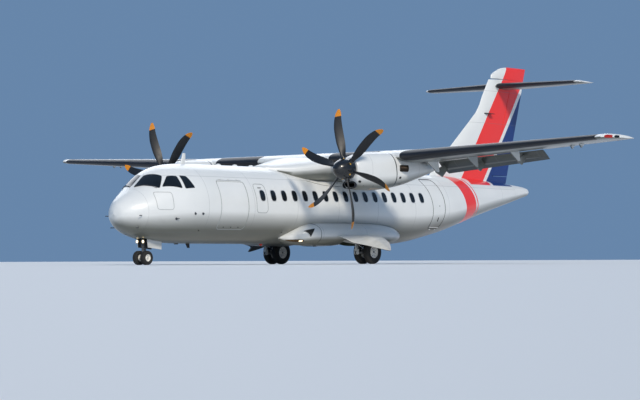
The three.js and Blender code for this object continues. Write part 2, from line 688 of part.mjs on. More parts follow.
// The elevators' inner ends slant away from the rudder, which swings out between them
const rudderSwing = solid(new THREE.ExtrudeGeometry(new THREE.Shape([
  new THREE.Vector2(-600, y(22750)), new THREE.Vector2(-320, y(21650)),
  new THREE.Vector2(320, y(21650)), new THREE.Vector2(600, y(22750)),
]), { depth: 800, bevelEnabled: false }).translate(0, 0, TAILPLANE_HEIGHT - 400));
const elevator = join(
  cut(tailSolid.intersect(behindElevator(ELEVATOR.from, ELEVATOR.to, 0)), rudderSwing),
  bar(tailHinge(ELEVATOR.from), tailHinge(ELEVATOR.to), ...elevatorRadii),
  bar(tailHinge(ELEVATOR.from - 70), tailHinge(ELEVATOR.to + 70), ELEVATOR.pin),
);
const elevatorHole = join(
  behindElevator(ELEVATOR.from - 2 * CLEAR, ELEVATOR.to + 2 * CLEAR, -elevatorBack),
  bar(tailHinge(ELEVATOR.from - 2 * CLEAR), tailHinge(ELEVATOR.to + 2 * CLEAR),
    ...elevatorRadii.map((radius) => radius + CLEAR)),
  bar(tailHinge(ELEVATOR.from - 72), tailHinge(ELEVATOR.to + 72), ELEVATOR.pin + PIN_GAP),
);
const RUDDER_SLOT = { half: 250, wide: 330, widens: 21760 };
const stabiliser = cut(
  tailSolid, both(elevatorHole),
  behindHinge(-rudderBack - 60, 6000, 7600).intersect(
    block([-RUDDER_SLOT.half, RUDDER_SLOT.half], [20000, 24000], [6000, 7600])),
  block([-RUDDER_SLOT.wide, RUDDER_SLOT.wide], [RUDDER_SLOT.widens, 24000], [6000, 7600]),
);
// The horn dips at its front when the rudder turns, so the fin's top falls away below it
const hornClear = plate([[19900, 7045], [21620, 7097], [21620, 7400], [19900, 7400]], [-400, 400]);
const fin = cut(
  finSolid, hullClear, tailBody(GAP), hornClear,
  behindHinge(-rudderBack, RUDDER_FOOT, 7300), rudderCove, rudderPin(PIN_GAP),
  bar(hingeAt(FIN_TOP - 200), hingeAt(FIN_TOP + 200),
    RUDDER_POST.radius + CLEAR, RUDDER_POST.radius + CLEAR, RUDDER_POST.sides),
);

// Doors: curved panels of the fuselage's own skin. The block of a hinged door is turned in plan, so that
// its ends stand square to the hinge, which follows the skin.
const DOOR_REACH = 3000;
function doorBlock({ from, to, low, high, edge }, spread, side, depth = 0) {
  const turn = edge ? Math.atan2(skinX(from, edge) - skinX(to, edge), to - from) : 0;
  const pivot = skinX((from + to) / 2, (low + high) / 2);
  const geometry = new THREE.BoxGeometry(DOOR_REACH, to - from + 2 * spread, high - low + 2 * spread);
  geometry.translate(DOOR_REACH / 2 + depth - pivot, 0, 0);
  geometry.rotateZ(turn);
  geometry.translate(pivot, y((from + to) / 2), (low + high) / 2);
  const placed = solid(geometry);
  return side > 0 ? placed : mirror(placed);
}

const doorPanel = (door, side = 1) =>
  cut(hull, fuselageBody(-door.wall)).intersect(doorBlock(door, 0, side));
const doorRecess = (door, side = 1) => cut(doorBlock(door, GAP, side), fuselageBody(-door.wall - GAP));

const HINGE_RADIUS = 18;
const doorHinge = ({ from, to, edge }, grow = 0) => {
  const ends = [from, to].map((station) => [skinX(station, edge), station, edge]);
  const inset = 30 - grow;
  const along = ends.map(([x, station], i) => [
    x + (ends[1][0] - ends[0][0]) * inset / (to - from) * (i ? -1 : 1),
    station + (i ? -inset : inset), edge]);
  return bar(...along, HINGE_RADIUS + grow);
};
const passengerDoor = join(doorPanel(PASSENGER_DOOR), doorHinge(PASSENGER_DOOR));
const cargoDoor = join(doorPanel(CARGO_DOOR), doorHinge(CARGO_DOOR));

// Nose gear: a bay in the belly, a leg, a steered fork, twin wheels and two open doors
const NOSE_AXLE = MAIN_AXLE - WHEELBASE;
const NOSE_BAY = { from: 1040, to: 1960, half: 235, top: 1120 };
const noseBay = block(
  [-NOSE_BAY.half, NOSE_BAY.half], [NOSE_BAY.from, NOSE_BAY.to], [500, NOSE_BAY.top]);
const LEG = { station: NOSE_AXLE, top: NOSE_BAY.top - GAP, joint: 560 };
const noseLeg = join(
  bar([0, LEG.station, LEG.joint], [0, LEG.station, LEG.top], 58, 62),
  bar([-NOSE_BAY.half + GAP, LEG.station, 960], [NOSE_BAY.half - GAP, LEG.station, 960], 20),
  bar([0, LEG.station + 540, NOSE_BAY.top - 40], [0, LEG.station + 20, 640], 26),
);
const NOSE_RADIUS = NOSE_TYRE.radius;
// An axle and its bore have sides enough to turn in a narrow gap
const AXLE_SIDES = 24;
const axleBar = (from, to, radius) => bar(from, to, radius, radius, AXLE_SIDES);
const noseFork = cut(
  join(
    bar([0, LEG.station, NOSE_RADIUS], [0, LEG.station, LEG.joint - GAP], 40),
    bar([-48, LEG.station, NOSE_RADIUS], [48, LEG.station, NOSE_RADIUS], 50),
    block([-22, 22], [LEG.station + 20, LEG.station + 130], [330, 400]),
    block([-22, 22], [LEG.station + 90, LEG.station + 130], [330, 520]),
  ),
  axleBar([-60, LEG.station, NOSE_RADIUS], [60, LEG.station, NOSE_RADIUS], NOSE_TYRE.axle + PIN_GAP),
);
// Each door hangs from the bay's wall, well above the tyres
const noseDoor = plate(
  [[1250, 880], [1900, 790], [1895, 490], [1300, 550]], [NOSE_BAY.half - 25, NOSE_BAY.half - GAP]);

const WHEEL_SIDES = 18;

// Wheels: a tyre section by distance from the wheel's middle and radius, both as shares
const TYRE_SECTION = [
  [-0.36, 0.5], [-0.5, 0.7], [-0.45, 0.91], [-0.28, 1],
  [0.28, 1], [0.45, 0.91], [0.5, 0.7], [0.36, 0.5],
];
function tyre({ radius, width, hub }, centre, station) {
  const inner = hub + GAP;
  const profile = TYRE_SECTION.map(([across, out]) => new THREE.Vector2(
    inner + (out - 0.5) / 0.5 * (radius - inner), across * width));
  profile.push(profile[0].clone());
  const geometry = new THREE.LatheGeometry(profile, WHEEL_SIDES);
  geometry.rotateZ(Math.PI / 2);
  geometry.translate(centre, y(station), radius);
  return geometry;
}

function wheelPair({ radius, width, hub, spacing, axle }, centre, station) {
  const at = (x) => [centre + x, station, radius];
  const rim = (x) => {
    const side = Math.sign(x);
    const drum = bar(at(x - width * 0.38), at(x + width * 0.38), hub, hub, WHEEL_SIDES);
    const dish = bar(
      at(x + side * width * 0.1), at(x + side * width * 0.385), hub * 0.55, hub * 0.86, WHEEL_SIDES);
    const boss = bar(at(x - side * width * 0.42), at(x + side * width * 0.3), axle * 1.5, axle * 1.3);
    return join(cut(drum, dish), boss);
  };
  return join(axleBar(at(-spacing / 2), at(spacing / 2), axle), rim(-spacing / 2), rim(spacing / 2));
}

// Main gear: pod on the fuselage's side, a leg, a trailing arm, a shock strut, twin wheels and a door.
// Pod: station, distance of its middle from the centre line, half width, middle height, half height
const POD = [
  [6850, 850, 40, 880, 30],
  [7000, 880, 210, 880, 130],
  [7250, 930, 440, 920, 240],
  [7550, 955, 660, 970, 325],
  [7900, 955, 820, 1000, 370],
  [8450, 955, 920, 1010, 390],
  [9250, 955, 945, 1010, 395],
  [10900, 955, 940, 1010, 390],
  [11600, 970, 850, 1010, 365],
  [12150, 1010, 660, 1005, 310],
  [12550, 1060, 420, 990, 220],
  [12820, 1110, 200, 980, 120],
  [12960, 1140, 40, 975, 30],
];
const podLoft = (grow) => loft(circle, POD, ([station, centre, half, height, rise], u, v) => [
  centre + (half + grow) * Math.sign(u) * Math.abs(u) ** 0.8,
  y(station),
  height + (rise + grow) * Math.sign(v) * Math.abs(v) ** 0.8,
], 9);
// Jack pads: flat discs that stand just below the skin
const JACK_PADS = { nose: [0, 2800, 655], main: [1060, 8450, 590], radius: 65 };
const JACK_PAD_SIDES = 16;
const jackPad = ([x, station, z]) => bar(
  [x, station, z + 120], [x, station, z], JACK_PADS.radius, JACK_PADS.radius, JACK_PAD_SIDES);

const TRACK_HALF = TRACK / 2;
const MAIN_RADIUS = MAIN_TYRE.radius;
const KNEE = [TRACK_HALF, 9480, 380];
const LEG_TOP = [1330, 9480, 830];
const WELL = { from: 9100, to: 10640, inner: 250, top: 925 };
const wheelWell = block([WELL.inner, 2500], [WELL.from, WELL.to], [0, WELL.top]);
const pod = cut(join(podLoft(0), jackPad(JACK_PADS.main)), hullClear, wheelWell);
const KNEE_PIN = 25;
const KNEE_BARREL = 58;
const cheek = (x0, x1) => join(
  bar([x0, KNEE[1], KNEE[2]], [x1, KNEE[1], KNEE[2]], KNEE_BARREL + 2),
  block([x0, x1], [KNEE[1] - 50, KNEE[1] + 50], [KNEE[2], KNEE[2] + 130]));
const POST_TOP = [TRACK_HALF, KNEE[1], 720];
const STRUT = {
  top: [TRACK_HALF, KNEE[1] + 20, 745],
  middle: [TRACK_HALF, KNEE[1] + 200, 620],
  foot: [TRACK_HALF, 9890, 440],
  lug: [[9830, 9930], [400, 475]],
  seat: KNEE[1] + 66,
};
const mainLeg = join(
  bar([LEG_TOP[0] + 60, WELL.from + GAP, LEG_TOP[2]], [LEG_TOP[0] + 60, LEG_TOP[1] + 170, LEG_TOP[2]], 62),
  bar([LEG_TOP[0] + 60, LEG_TOP[1], LEG_TOP[2]], POST_TOP, 62, 56),
  bar([TRACK_HALF, KNEE[1], POST_TOP[2] + 40], [TRACK_HALF, KNEE[1], KNEE[2] + 100], 54),
  block([TRACK_HALF - 50, TRACK_HALF + 50], [KNEE[1], STRUT.seat], [650, 780]),
  block([TRACK_HALF - 62, TRACK_HALF + 62], [KNEE[1] - 50, KNEE[1] + 50],
    [KNEE[2] + KNEE_BARREL + 6, KNEE[2] + 130]),
  cheek(TRACK_HALF - 62, TRACK_HALF - 30 - GAP),
  cheek(TRACK_HALF + 30 + GAP, TRACK_HALF + 62),
  bar([TRACK_HALF - 60, KNEE[1], KNEE[2]], [TRACK_HALF + 60, KNEE[1], KNEE[2]], KNEE_PIN),
);
// The strut stands face to face between the post and a lug on the arm
const shockStrut = cut(
  join(bar(STRUT.top, STRUT.middle, 44), bar(STRUT.top, STRUT.foot, 28)),
  block([TRACK_HALF - 90, TRACK_HALF + 90], [KNEE[1] - 90, STRUT.seat + GAP], [500, 900]),
  block([TRACK_HALF - 60, TRACK_HALF + 60], [9780, 9980], [300, STRUT.lug[1][1] + GAP]),
);
const trailingArm = cut(
  join(
    bar([TRACK_HALF - 30, KNEE[1], KNEE[2]], [TRACK_HALF + 30, KNEE[1], KNEE[2]], KNEE_BARREL),
    block([TRACK_HALF - 30, TRACK_HALF + 30], [KNEE[1], KNEE[1] + 110], [KNEE[2] - 45, KNEE[2] + 45]),
    bar([TRACK_HALF, KNEE[1] + 90, KNEE[2]], [TRACK_HALF, MAIN_AXLE, MAIN_RADIUS], 46, 50),
    bar([TRACK_HALF - 60, MAIN_AXLE, MAIN_RADIUS], [TRACK_HALF + 60, MAIN_AXLE, MAIN_RADIUS], 75),
    block([TRACK_HALF - 34, TRACK_HALF + 34], ...STRUT.lug),
  ),
  axleBar([TRACK_HALF - 70, MAIN_AXLE, MAIN_RADIUS], [TRACK_HALF + 70, MAIN_AXLE, MAIN_RADIUS],
    MAIN_TYRE.axle + PIN_GAP),
  bar([TRACK_HALF - 40, KNEE[1], KNEE[2]], [TRACK_HALF + 40, KNEE[1], KNEE[2]], KNEE_PIN + GAP),
);

// Leg door, a curved plate above the wheels: station, inner edge, its height, outer edge, its height
const LEG_DOOR = [
  [8680, 1780, 935, 2180, 840],
  [8850, 1780, 950, 2490, 630],
  [9100, 1780, 955, 2500, 660],
  [9400, 1780, 960, 2600, 600],
  [9600, 1780, 960, 2870, 530],
  [9800, 1780, 960, 3190, 430],
  [10100, 1780, 960, 2960, 530],
  [10500, 1780, 955, 2620, 720],
  [10850, 1780, 940, 2180, 850],
];
const doorStrip = new THREE.Shape([
  [0, 0], [0.35, 0], [0.7, 0], [1, 0], [1, 1], [0.7, 1], [0.35, 1], [0, 1],
].map(([u, v]) => new THREE.Vector2(u, v)));
const legDoor = cut(loft(doorStrip, LEG_DOOR, ([station, inner, innerZ, outer, outerZ], u, v) => [
  inner + u * (outer - inner),
  y(station),
  innerZ + u ** 2.6 * (outerZ - innerZ) + 22 * v,
]), podLoft(GAP));

const fuselage = cut(
  join(
    hull.intersect(block([-3000, 3000], [RADOME_END + GAP, TAIL_CONE_START - GAP], [0, 6000])),
    jackPad(JACK_PADS.nose),
  ),
  doorBlock(PASSENGER_DOOR, CLEAR, 1, PASSENGER_DOOR.depth),
  doorBlock(CARGO_DOOR, CLEAR, 1, CARGO_DOOR.depth),
  doorHinge(PASSENGER_DOOR, PIN_GAP),
  doorHinge(CARGO_DOOR, PIN_GAP),
  doorRecess(SERVICE_DOOR, -1),
  doorRecess(HATCH, 1),
  doorRecess(HATCH, -1),
  noseBay,
);

keep('radome', shape(hull.intersect(block([-3000, 3000], [-100, RADOME_END], [0, 6000]))), WHITE);
keep('fuselage', shape(fuselage), WHITE);
keep('tail_cone', shape(hull.intersect(block([-3000, 3000], [TAIL_CONE_START, 23000], [0, 6000]))), WHITE);
keep('wing_root_fairing', shape(saddle), WHITE);
keep('wing', shape(wing), WHITE);
keep('fin', shape(fin), WHITE);
keep('rudder', shape(rudder), RED);
keep('stabiliser', shape(stabiliser), WHITE);
pair('elevator', elevator, WHITE);
pair('aileron', join(aileron.moving, ...aileronFairings), WHITE);
pair('wing_tip', wingTip, WHITE);
flaps.forEach(({ name, moving }) => pair(`${name}_flap`, moving, GREY));
pair('nacelle', nacelle, WHITE);
pair('engine', engineBlock, DARK_METAL);
pair('exhaust', exhaust, DARK_METAL);
pair('gear_pod', pod, WHITE);
pair('main_leg', mainLeg, STEEL);
pair('trailing_arm', trailingArm, STEEL);
pair('shock_strut', shockStrut, STEEL);
pair('main_gear_door', legDoor, WHITE);
SIDES.forEach(([name, side]) => {
  const turned = side > 0 ? BLADE_ANGLE.port : BLADE_ANGLE.starboard;
  const place = (body) => (side > 0 ? body : body.translate([-2 * ENGINE_OFFSET, 0, 0]));
  keep(`propeller_${name}`, shape(place(propeller(turned))), BLADE_BLACK);
  keep(`spinner_${name}`, shape(place(spinnerBody(turned))), BLADE_BLACK);
  keep(`main_wheels_${name}`, shape(wheelPair(MAIN_TYRE, side * TRACK_HALF, MAIN_AXLE)), STEEL);
  [['outer', 1], ['inner', -1]].forEach(([spot, way]) => {
    const centre = side * (TRACK_HALF + way * MAIN_TYRE.spacing / 2);
    keep(`main_tyre_${spot}_${name}`, shape(solid(tyre(MAIN_TYRE, centre, MAIN_AXLE))), RUBBER);
  });
});
keep('passenger_door', shape(passengerDoor), WHITE);
keep('cargo_door', shape(cargoDoor), WHITE);
keep('service_door', shape(doorPanel(SERVICE_DOOR, -1)), WHITE);
pair('emergency_hatch', doorPanel(HATCH), WHITE);
keep('nose_leg', shape(noseLeg), STEEL);
keep('nose_fork', shape(noseFork), STEEL);
keep('nose_wheels', shape(wheelPair(NOSE_TYRE, 0, NOSE_AXLE)), STEEL);
[['port', 1], ['starboard', -1]].forEach(([name, side]) => {
  const centre = side * NOSE_TYRE.spacing / 2;
  keep(`nose_tyre_${name}`, shape(solid(tyre(NOSE_TYRE, centre, NOSE_AXLE))), RUBBER);
});
pair('nose_gear_door', noseDoor, WHITE);

export default plane;
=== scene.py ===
# A twin-engined turboprop airliner with a high wing and a T-tail, parked on its wheels.
# Metres, +Z up; +X points to port and -Y to the nose. A station is a distance aft of the nose tip.
import math
from functools import lru_cache

import bmesh
import bpy
from mathutils import Matrix, Vector


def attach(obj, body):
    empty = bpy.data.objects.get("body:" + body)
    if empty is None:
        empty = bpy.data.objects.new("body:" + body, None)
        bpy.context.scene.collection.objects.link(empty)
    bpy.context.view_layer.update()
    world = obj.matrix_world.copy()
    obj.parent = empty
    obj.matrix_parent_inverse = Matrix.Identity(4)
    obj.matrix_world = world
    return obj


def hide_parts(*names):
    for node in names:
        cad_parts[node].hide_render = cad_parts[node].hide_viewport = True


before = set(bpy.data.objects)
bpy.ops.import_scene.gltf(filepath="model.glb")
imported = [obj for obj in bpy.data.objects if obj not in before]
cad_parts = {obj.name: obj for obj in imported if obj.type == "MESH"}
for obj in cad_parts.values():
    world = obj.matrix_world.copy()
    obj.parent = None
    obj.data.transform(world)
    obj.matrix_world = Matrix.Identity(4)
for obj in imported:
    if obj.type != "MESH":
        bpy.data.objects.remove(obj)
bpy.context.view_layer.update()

# The view is from floor level off the port bow, through a long lens, with the slight tilt of the
# photograph. The floor is pale matt screed. One soft sun stands off the port side, as in the
# photograph, with two weak ones without gloss that fill the bow and the stern.
AZIMUTH = math.radians(39.93)
TILT = math.radians(0.2)
DISTANCE = 75
EYE_HEIGHT = 0.12
AIM = Vector((-0.65, -0.55, 2.25))
LENS = 120
FLOOR_HALF = 700
FAR = 2000


def linear(code):
    """An sRGB hex colour as the linear colour that a node takes."""
    parts = [int(code[i:i + 2], 16) / 255 for i in (1, 3, 5)]
    return [p / 12.92 if p <= 0.04045 else ((p + 0.055) / 1.055) ** 2.4 for p in parts] + [1.0]


def plug(material, node, inputs):
    """Gives a node's inputs plain values, or links them to an output or to a node's first output."""
    for key, value in inputs.items():
        if isinstance(value, bpy.types.Node):
            value = value.outputs[0]
        if isinstance(value, bpy.types.NodeSocket):
            material.node_tree.links.new(value, node.inputs[key])
        else:
            node.inputs[key].default_value = value


def add(material, kind, inputs=(), **settings):
    """Adds a shader node with its settings and links."""
    made = material.node_tree.nodes.new(f"ShaderNode{kind}")
    for key, value in settings.items():
        setattr(made, key, value)
    plug(material, made, dict(inputs))
    return made


def shader(name):
    """A new material and its surface shader."""
    material = bpy.data.materials.new(name)
    material.use_nodes = True
    return material, material.node_tree.nodes["Principled BSDF"]


def link(obj):
    bpy.context.scene.collection.objects.link(obj)
    return obj


def as_object(name, bm, *finishes, sharp=35):
    """A bmesh as an object, shaded smooth up to an angle in degrees."""
    mesh = bpy.data.meshes.new(name)
    bm.to_mesh(mesh)
    bm.free()
    for finish in finishes:
        mesh.materials.append(finish)
    mesh.polygons.foreach_set("use_smooth", [True] * len(mesh.polygons))
    mesh.set_sharp_from_angle(angle=math.radians(sharp))
    return link(bpy.data.objects.new(name, mesh))


camera = link(bpy.data.objects.new("camera", bpy.data.cameras.new("camera")))
camera.data.lens = LENS
camera.data.clip_end = FAR
camera.location = (
    AIM.x + DISTANCE * math.sin(AZIMUTH), AIM.y - DISTANCE * math.cos(AZIMUTH), EYE_HEIGHT)
look = (AIM - camera.location).to_track_quat("-Z", "Y").to_matrix().to_4x4()
camera.matrix_world = Matrix.Translation(camera.location) @ look @ Matrix.Rotation(-TILT, 4, "Z")
bpy.context.scene.camera = camera

world = bpy.context.scene.world or bpy.data.worlds.new("studio")
bpy.context.scene.world = world
world.use_nodes = True
background = world.node_tree.nodes["Background"]
background.inputs["Color"].default_value = linear("#93bdee")
background.inputs["Strength"].default_value = 0.47
bpy.context.scene.view_settings.view_transform = "Standard"

LAMPS = [  # name, energy, softness in degrees, strength as a gloss, the way to it, colour
    ("key", 2.3, 9, 0.6, (0.72, -0.42, 0.55), "#fff5e6"),
    ("fill", 0.45, 40, 0.0, (0.62, -0.77, 0.12), "#ffffff"),
    ("stern", 0.7, 40, 0.0, (-0.62, 0.55, 0.50), "#ffffff"),
]
for name, energy, softness, gloss, way, colour in LAMPS:
    lamp = link(bpy.data.objects.new(name, bpy.data.lights.new(name, "SUN")))
    lamp.data.energy = energy
    lamp.data.angle = math.radians(softness)
    lamp.data.color = linear(colour)[:3]
    lamp.data.specular_factor = gloss
    lamp.rotation_euler = (-Vector(way)).to_track_quat("-Z", "Y").to_euler()

screed, surface = shader("matt_screed")
spots = add(screed, "TexNoise", {"Scale": 0.35, "Detail": 6})
tone = add(screed, "Mix", {0: spots, 6: linear("#dcdfe1"), 7: linear("#e4e6e7")}, data_type="RGBA")
plug(screed, surface, {"Base Color": tone.outputs[2], "Roughness": 0.75})
slab = bmesh.new()
bmesh.ops.create_grid(slab, x_segments=1, y_segments=1, size=FLOOR_HALF)
as_object("floor", slab, screed)

# The fuselage is aluminium alloy sheet on frames, lap-jointed and sprayed with polyurethane topcoat.
# Its skin is a tube through the real cross-sections, cut by two doorways with a groove for each hinge
# and by the nose-gear bay; the radome and tail cone are composite shells of the same outline.
LENGTH = 22.67
MIDDLE = LENGTH / 2
SECTIONS = [  # station, half width, top, height of the widest point, bottom
    (0.00, 0.025, 1.635, 1.610, 1.585),
    (0.06, 0.230, 1.850, 1.612, 1.372),
    (0.18, 0.400, 1.990, 1.615, 1.220),
    (0.40, 0.610, 2.165, 1.625, 1.065),
    (0.70, 0.820, 2.370, 1.645, 0.930),
    (0.90, 0.925, 2.520, 1.660, 0.868),
    (1.15, 1.040, 2.730, 1.690, 0.812),
    (1.45, 1.155, 2.950, 1.725, 0.765),
    (1.80, 1.260, 3.110, 1.765, 0.725),
    (2.30, 1.360, 3.210, 1.800, 0.695),
    (2.90, 1.415, 3.250, 1.822, 0.682),
    (3.60, 1.4325, 3.262, 1.830, 0.680),
    (13.00, 1.4325, 3.262, 1.830, 0.680),
    (13.70, 1.430, 3.262, 1.840, 0.700),
    (14.40, 1.418, 3.262, 1.870, 0.768),
    (15.20, 1.378, 3.262, 1.930, 0.905),
    (16.25, 1.290, 3.258, 2.030, 1.110),
    (17.40, 1.135, 3.235, 2.180, 1.395),
    (18.55, 0.945, 3.195, 2.340, 1.690),
    (19.60, 0.750, 3.140, 2.490, 1.935),
    (20.50, 0.575, 3.085, 2.590, 2.140),
    (21.50, 0.385, 3.025, 2.690, 2.370),
    (22.20, 0.250, 2.965, 2.750, 2.540),
    (22.50, 0.180, 2.915, 2.765, 2.610),
    (22.62, 0.100, 2.865, 2.768, 2.680),
    (LENGTH, 0.025, 2.795, 2.768, 2.740),
]
RADOME_END = 0.72
TAIL_CONE_START = 21.25
SEAM = 0.0003
WELD = 1e-5


def y(station):
    return station - MIDDLE


def spot(x, station, z):
    """The point at a distance to port, a station and a height."""
    return Vector((x, station - MIDDLE, z))


def between(rows, at):
    """A table's row at any distance, on a smooth curve through its rows that never overshoots."""
    at = min(max(at, rows[0][0]), rows[-1][0])
    i = max(k for k in range(len(rows) - 1) if k == 0 or rows[k][0] <= at)
    step = rows[i + 1][0] - rows[i][0]
    t = (at - rows[i][0]) / step

    def slope(k, column):
        sides = [
            (rows[m + 1][column] - rows[m][column]) / (rows[m + 1][0] - rows[m][0])
            for m in (k - 1, k) if 0 <= m < len(rows) - 1]
        if len(sides) == 1:
            return sides[0]
        product = sides[0] * sides[1]
        return 0 if product <= 0 else 2 * product / (sides[0] + sides[1])

    row = []
    for column in range(1, len(rows[0])):
        a, b = rows[i][column], rows[i + 1][column]
        ends = slope(i, column) * step, slope(i + 1, column) * step
        row.append((2 * t ** 3 - 3 * t ** 2 + 1) * a + (t ** 3 - 2 * t ** 2 + t) * ends[0]
                   + (3 * t ** 2 - 2 * t ** 3) * b + (t ** 3 - t ** 2) * ends[1])
    return row


def at_share(rows, share):
    """The distance at a share of a table's length."""
    return rows[0][0] + (rows[-1][0] - rows[0][0]) * share


def both_ends(share):
    """A share that crowds towards both ends."""
    return (1 - math.cos(math.pi * share)) / 2


@lru_cache(maxsize=None)
def hull_row(station):
    return between(SECTIONS, station)


def hull_point(station, turn, grow=0.0):
    """A point of the fuselage's skin; turn is an angle from port up to the top."""
    half, top, mid, bottom = hull_row(round(station, 5))
    rise = math.sin(turn)
    reach = (top - mid if rise > 0 else mid - bottom) + grow
    return spot((half + grow) * math.cos(turn), station, mid + rise * reach)


def skin_x(station, z, grow=0.0):
    """How far out the port skin lies at a height."""
    half, top, mid, bottom = hull_row(round(station, 5))
    rise = (z - mid) / ((top - mid if z > mid else mid - bottom) + grow)
    return (half + grow) * math.sqrt(max(0.0, 1 - rise * rise))


def on_skin(station, z, way=1, proud=0.0):
    """A point at a distance out from the fuselage's skin, on one side."""
    return spot(way * (skin_x(station, z) + proud), station, z)


def close(bm):
    """Fills a mesh's open ends and turns its faces outward."""
    bmesh.ops.holes_fill(bm, edges=[edge for edge in bm.edges if edge.is_boundary])
    bmesh.ops.recalc_face_normals(bm, faces=bm.faces)
    return bm


def skin(place, along, around, closed=True):
    """A grid laid out by a function of the share along a piece and the share round it, then closed."""
    bm = bmesh.new()
    bmesh.ops.create_grid(bm, x_segments=along, y_segments=around, size=0.5)
    for vert in bm.verts:
        vert.co = place(vert.co.x + 0.5, vert.co.y + 0.5)
    bmesh.ops.remove_doubles(bm, verts=bm.verts, dist=WELD)
    if closed:
        return close(bm)
    bmesh.ops.recalc_face_normals(bm, faces=bm.faces)
    return bm


def block(size, middle=(0, 0, 0)):
    """A box of a size about a point."""
    bm = bmesh.new()
    bmesh.ops.create_cube(bm, size=1)
    bmesh.ops.scale(bm, verts=bm.verts, vec=size)
    bmesh.ops.translate(bm, verts=bm.verts, vec=middle)
    return bm


def trim(bm, point, way):
    """Cuts off what lies past a plane, and closes the cut."""
    bmesh.ops.bisect_plane(bm, geom=bm.verts[:] + bm.edges[:] + bm.faces[:], plane_co=point,
                           plane_no=way, clear_outer=True)
    bmesh.ops.holes_fill(bm, edges=[edge for edge in bm.edges if edge.is_boundary])


def settle(thing):
    """Turns a piece's modifiers into its mesh."""
    graph = bpy.context.evaluated_depsgraph_get()
    mesh = bpy.data.meshes.new_from_object(thing.evaluated_get(graph), depsgraph=graph)
    thing.modifiers.clear()
    thing.data = mesh
    mesh.polygons.foreach_set("use_smooth", [True] * len(mesh.polygons))
    mesh.set_sharp_from_angle(angle=math.radians(35))


def carve(thing, tool, way="DIFFERENCE"):
    """Cuts a piece by another mesh, which is used up; the cut faces take that mesh's finish."""
    cut = thing.modifiers.new("cut", "BOOLEAN")
    cut.operation = way
    cut.solver = "EXACT"
    cut.material_mode = "TRANSFER"
    cut.object = tool
    settle(thing)
    bpy.data.objects.remove(tool)


def fit(thing, slot, body="airframe", nodes=()):
    """Fixes a finished piece to its body and hides the nodes it stands for; its slot is not used."""
    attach(thing, body)
    if nodes:
        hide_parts(*nodes)
    return thing


def mottled(name, colour, second, scale, detail):
    """A material that drifts between two shades: itself, its shader, the place, the drift, the colour."""
    finish, surface = shader(name)
    place = add(finish, "TexCoord").outputs["Object"]
    drift = add(finish, "TexNoise", {"Vector": place, "Scale": scale, "Detail": detail})
    near, far = [linear(shade) if isinstance(shade, str) else shade for shade in (colour, second)]
    shade = add(finish, "Mix", {0: drift, 6: near, 7: far}, data_type="RGBA").outputs[2]
    return finish, surface, place, drift, shade


# Polyurethane topcoat on sheet or composite: smooth and glossy, slightly wavy over the frames. Faces that
# look down are painted greyer, which is painted shade. Low on the fuselage it darkens in streaks, partly
# oily grime where spray and exhaust reach and partly painted shade.
# Joints show as fine dark lines, drawn 10 mm wide so that they show at all.
JOINT_GREY = "#6f7577"
# The colour of the streaks low on the fuselage: partly grime, partly painted shade.
GRIME_AND_SHADE = "#5d5b52"


def topcoat(name, colour="#eceeed", worn="#dcdfde", joints=(), bands=(), grime_and_shade=0.0, shade_below="#6f7168"):
    """Glossy paint. A band is a colour and its bounding planes; a joint is a direction, start and pitch."""
    paint, surface, place, cloud, coat = mottled(name, colour, worn, 0.9, 5)
    # Painted shade: faces that look down are mixed towards a darker colour.
    normal = add(paint, "NewGeometry").outputs["Normal"]
    down = add(paint, "VectorMath", {0: normal, 1: (0, 0, -1)}, operation="DOT_PRODUCT")
    shade_under = add(paint, "MapRange", {"Value": down.outputs["Value"], "From Min": 0.15, "From Max": 0.7})
    coats = [(shade_under, shade_below)]
    for shade, edges in bands:
        mask = None
        for direction, start in edges:
            along = add(paint, "VectorMath", {0: place, 1: direction}, operation="DOT_PRODUCT")
            past = add(paint, "Math", {0: along.outputs["Value"], 1: start}, operation="GREATER_THAN")
            mask = past if mask is None else add(paint, "Math", {0: mask, 1: past}, operation="MULTIPLY")
        coats.append((mask, shade))
    for direction, first, pitch in joints:
        along = add(paint, "VectorMath", {0: place, 1: direction}, operation="DOT_PRODUCT")
        run = add(paint, "Math", {0: along.outputs["Value"], 1: first}, operation="SUBTRACT")
        near = add(paint, "Math", {0: run, 1: pitch / 2}, operation="PINGPONG")
        line = add(paint, "MapRange", {
            "Value": near, "From Min": 0.003, "From Max": 0.008, "To Min": 0.5, "To Max": 0})
        coats.append((line, JOINT_GREY))
    # Low faces darken in streaks: partly grime, partly painted shade.
    if grime_and_shade:
        height = add(paint, "SeparateXYZ", {0: place}).outputs["Z"]
        low = add(paint, "MapRange", {
            "Value": height, "From Min": 0.65, "From Max": 1.75, "To Min": grime_and_shade, "To Max": 0})
        stretched = add(paint, "Mapping", {"Vector": place, "Scale": (5, 0.5, 5)})
        streak = add(paint, "TexNoise", {"Vector": stretched, "Scale": 1.2, "Detail": 6})
        dirt_and_shade = add(paint, "Math", {0: low, 1: streak}, operation="MULTIPLY")
        coats.append((dirt_and_shade, GRIME_AND_SHADE))
    for share, over in coats:
        coat = add(paint, "Mix", {0: share, 6: coat, 7: linear(over)}, data_type="RGBA").outputs[2]
    gloss = add(paint, "MapRange", {"Value": cloud, "To Min": 0.24, "To Max": 0.42})
    waves = add(paint, "TexNoise", {"Vector": place, "Scale": 1.9, "Detail": 1})
    bump = add(paint, "Bump", {"Height": waves, "Strength": 0.25, "Distance": 0.012})
    plug(paint, surface, {
        "Base Color": coat, "Roughness": gloss, "Normal": bump,
        "Coat Weight": 0.35, "Coat Roughness": 0.12})
    return paint


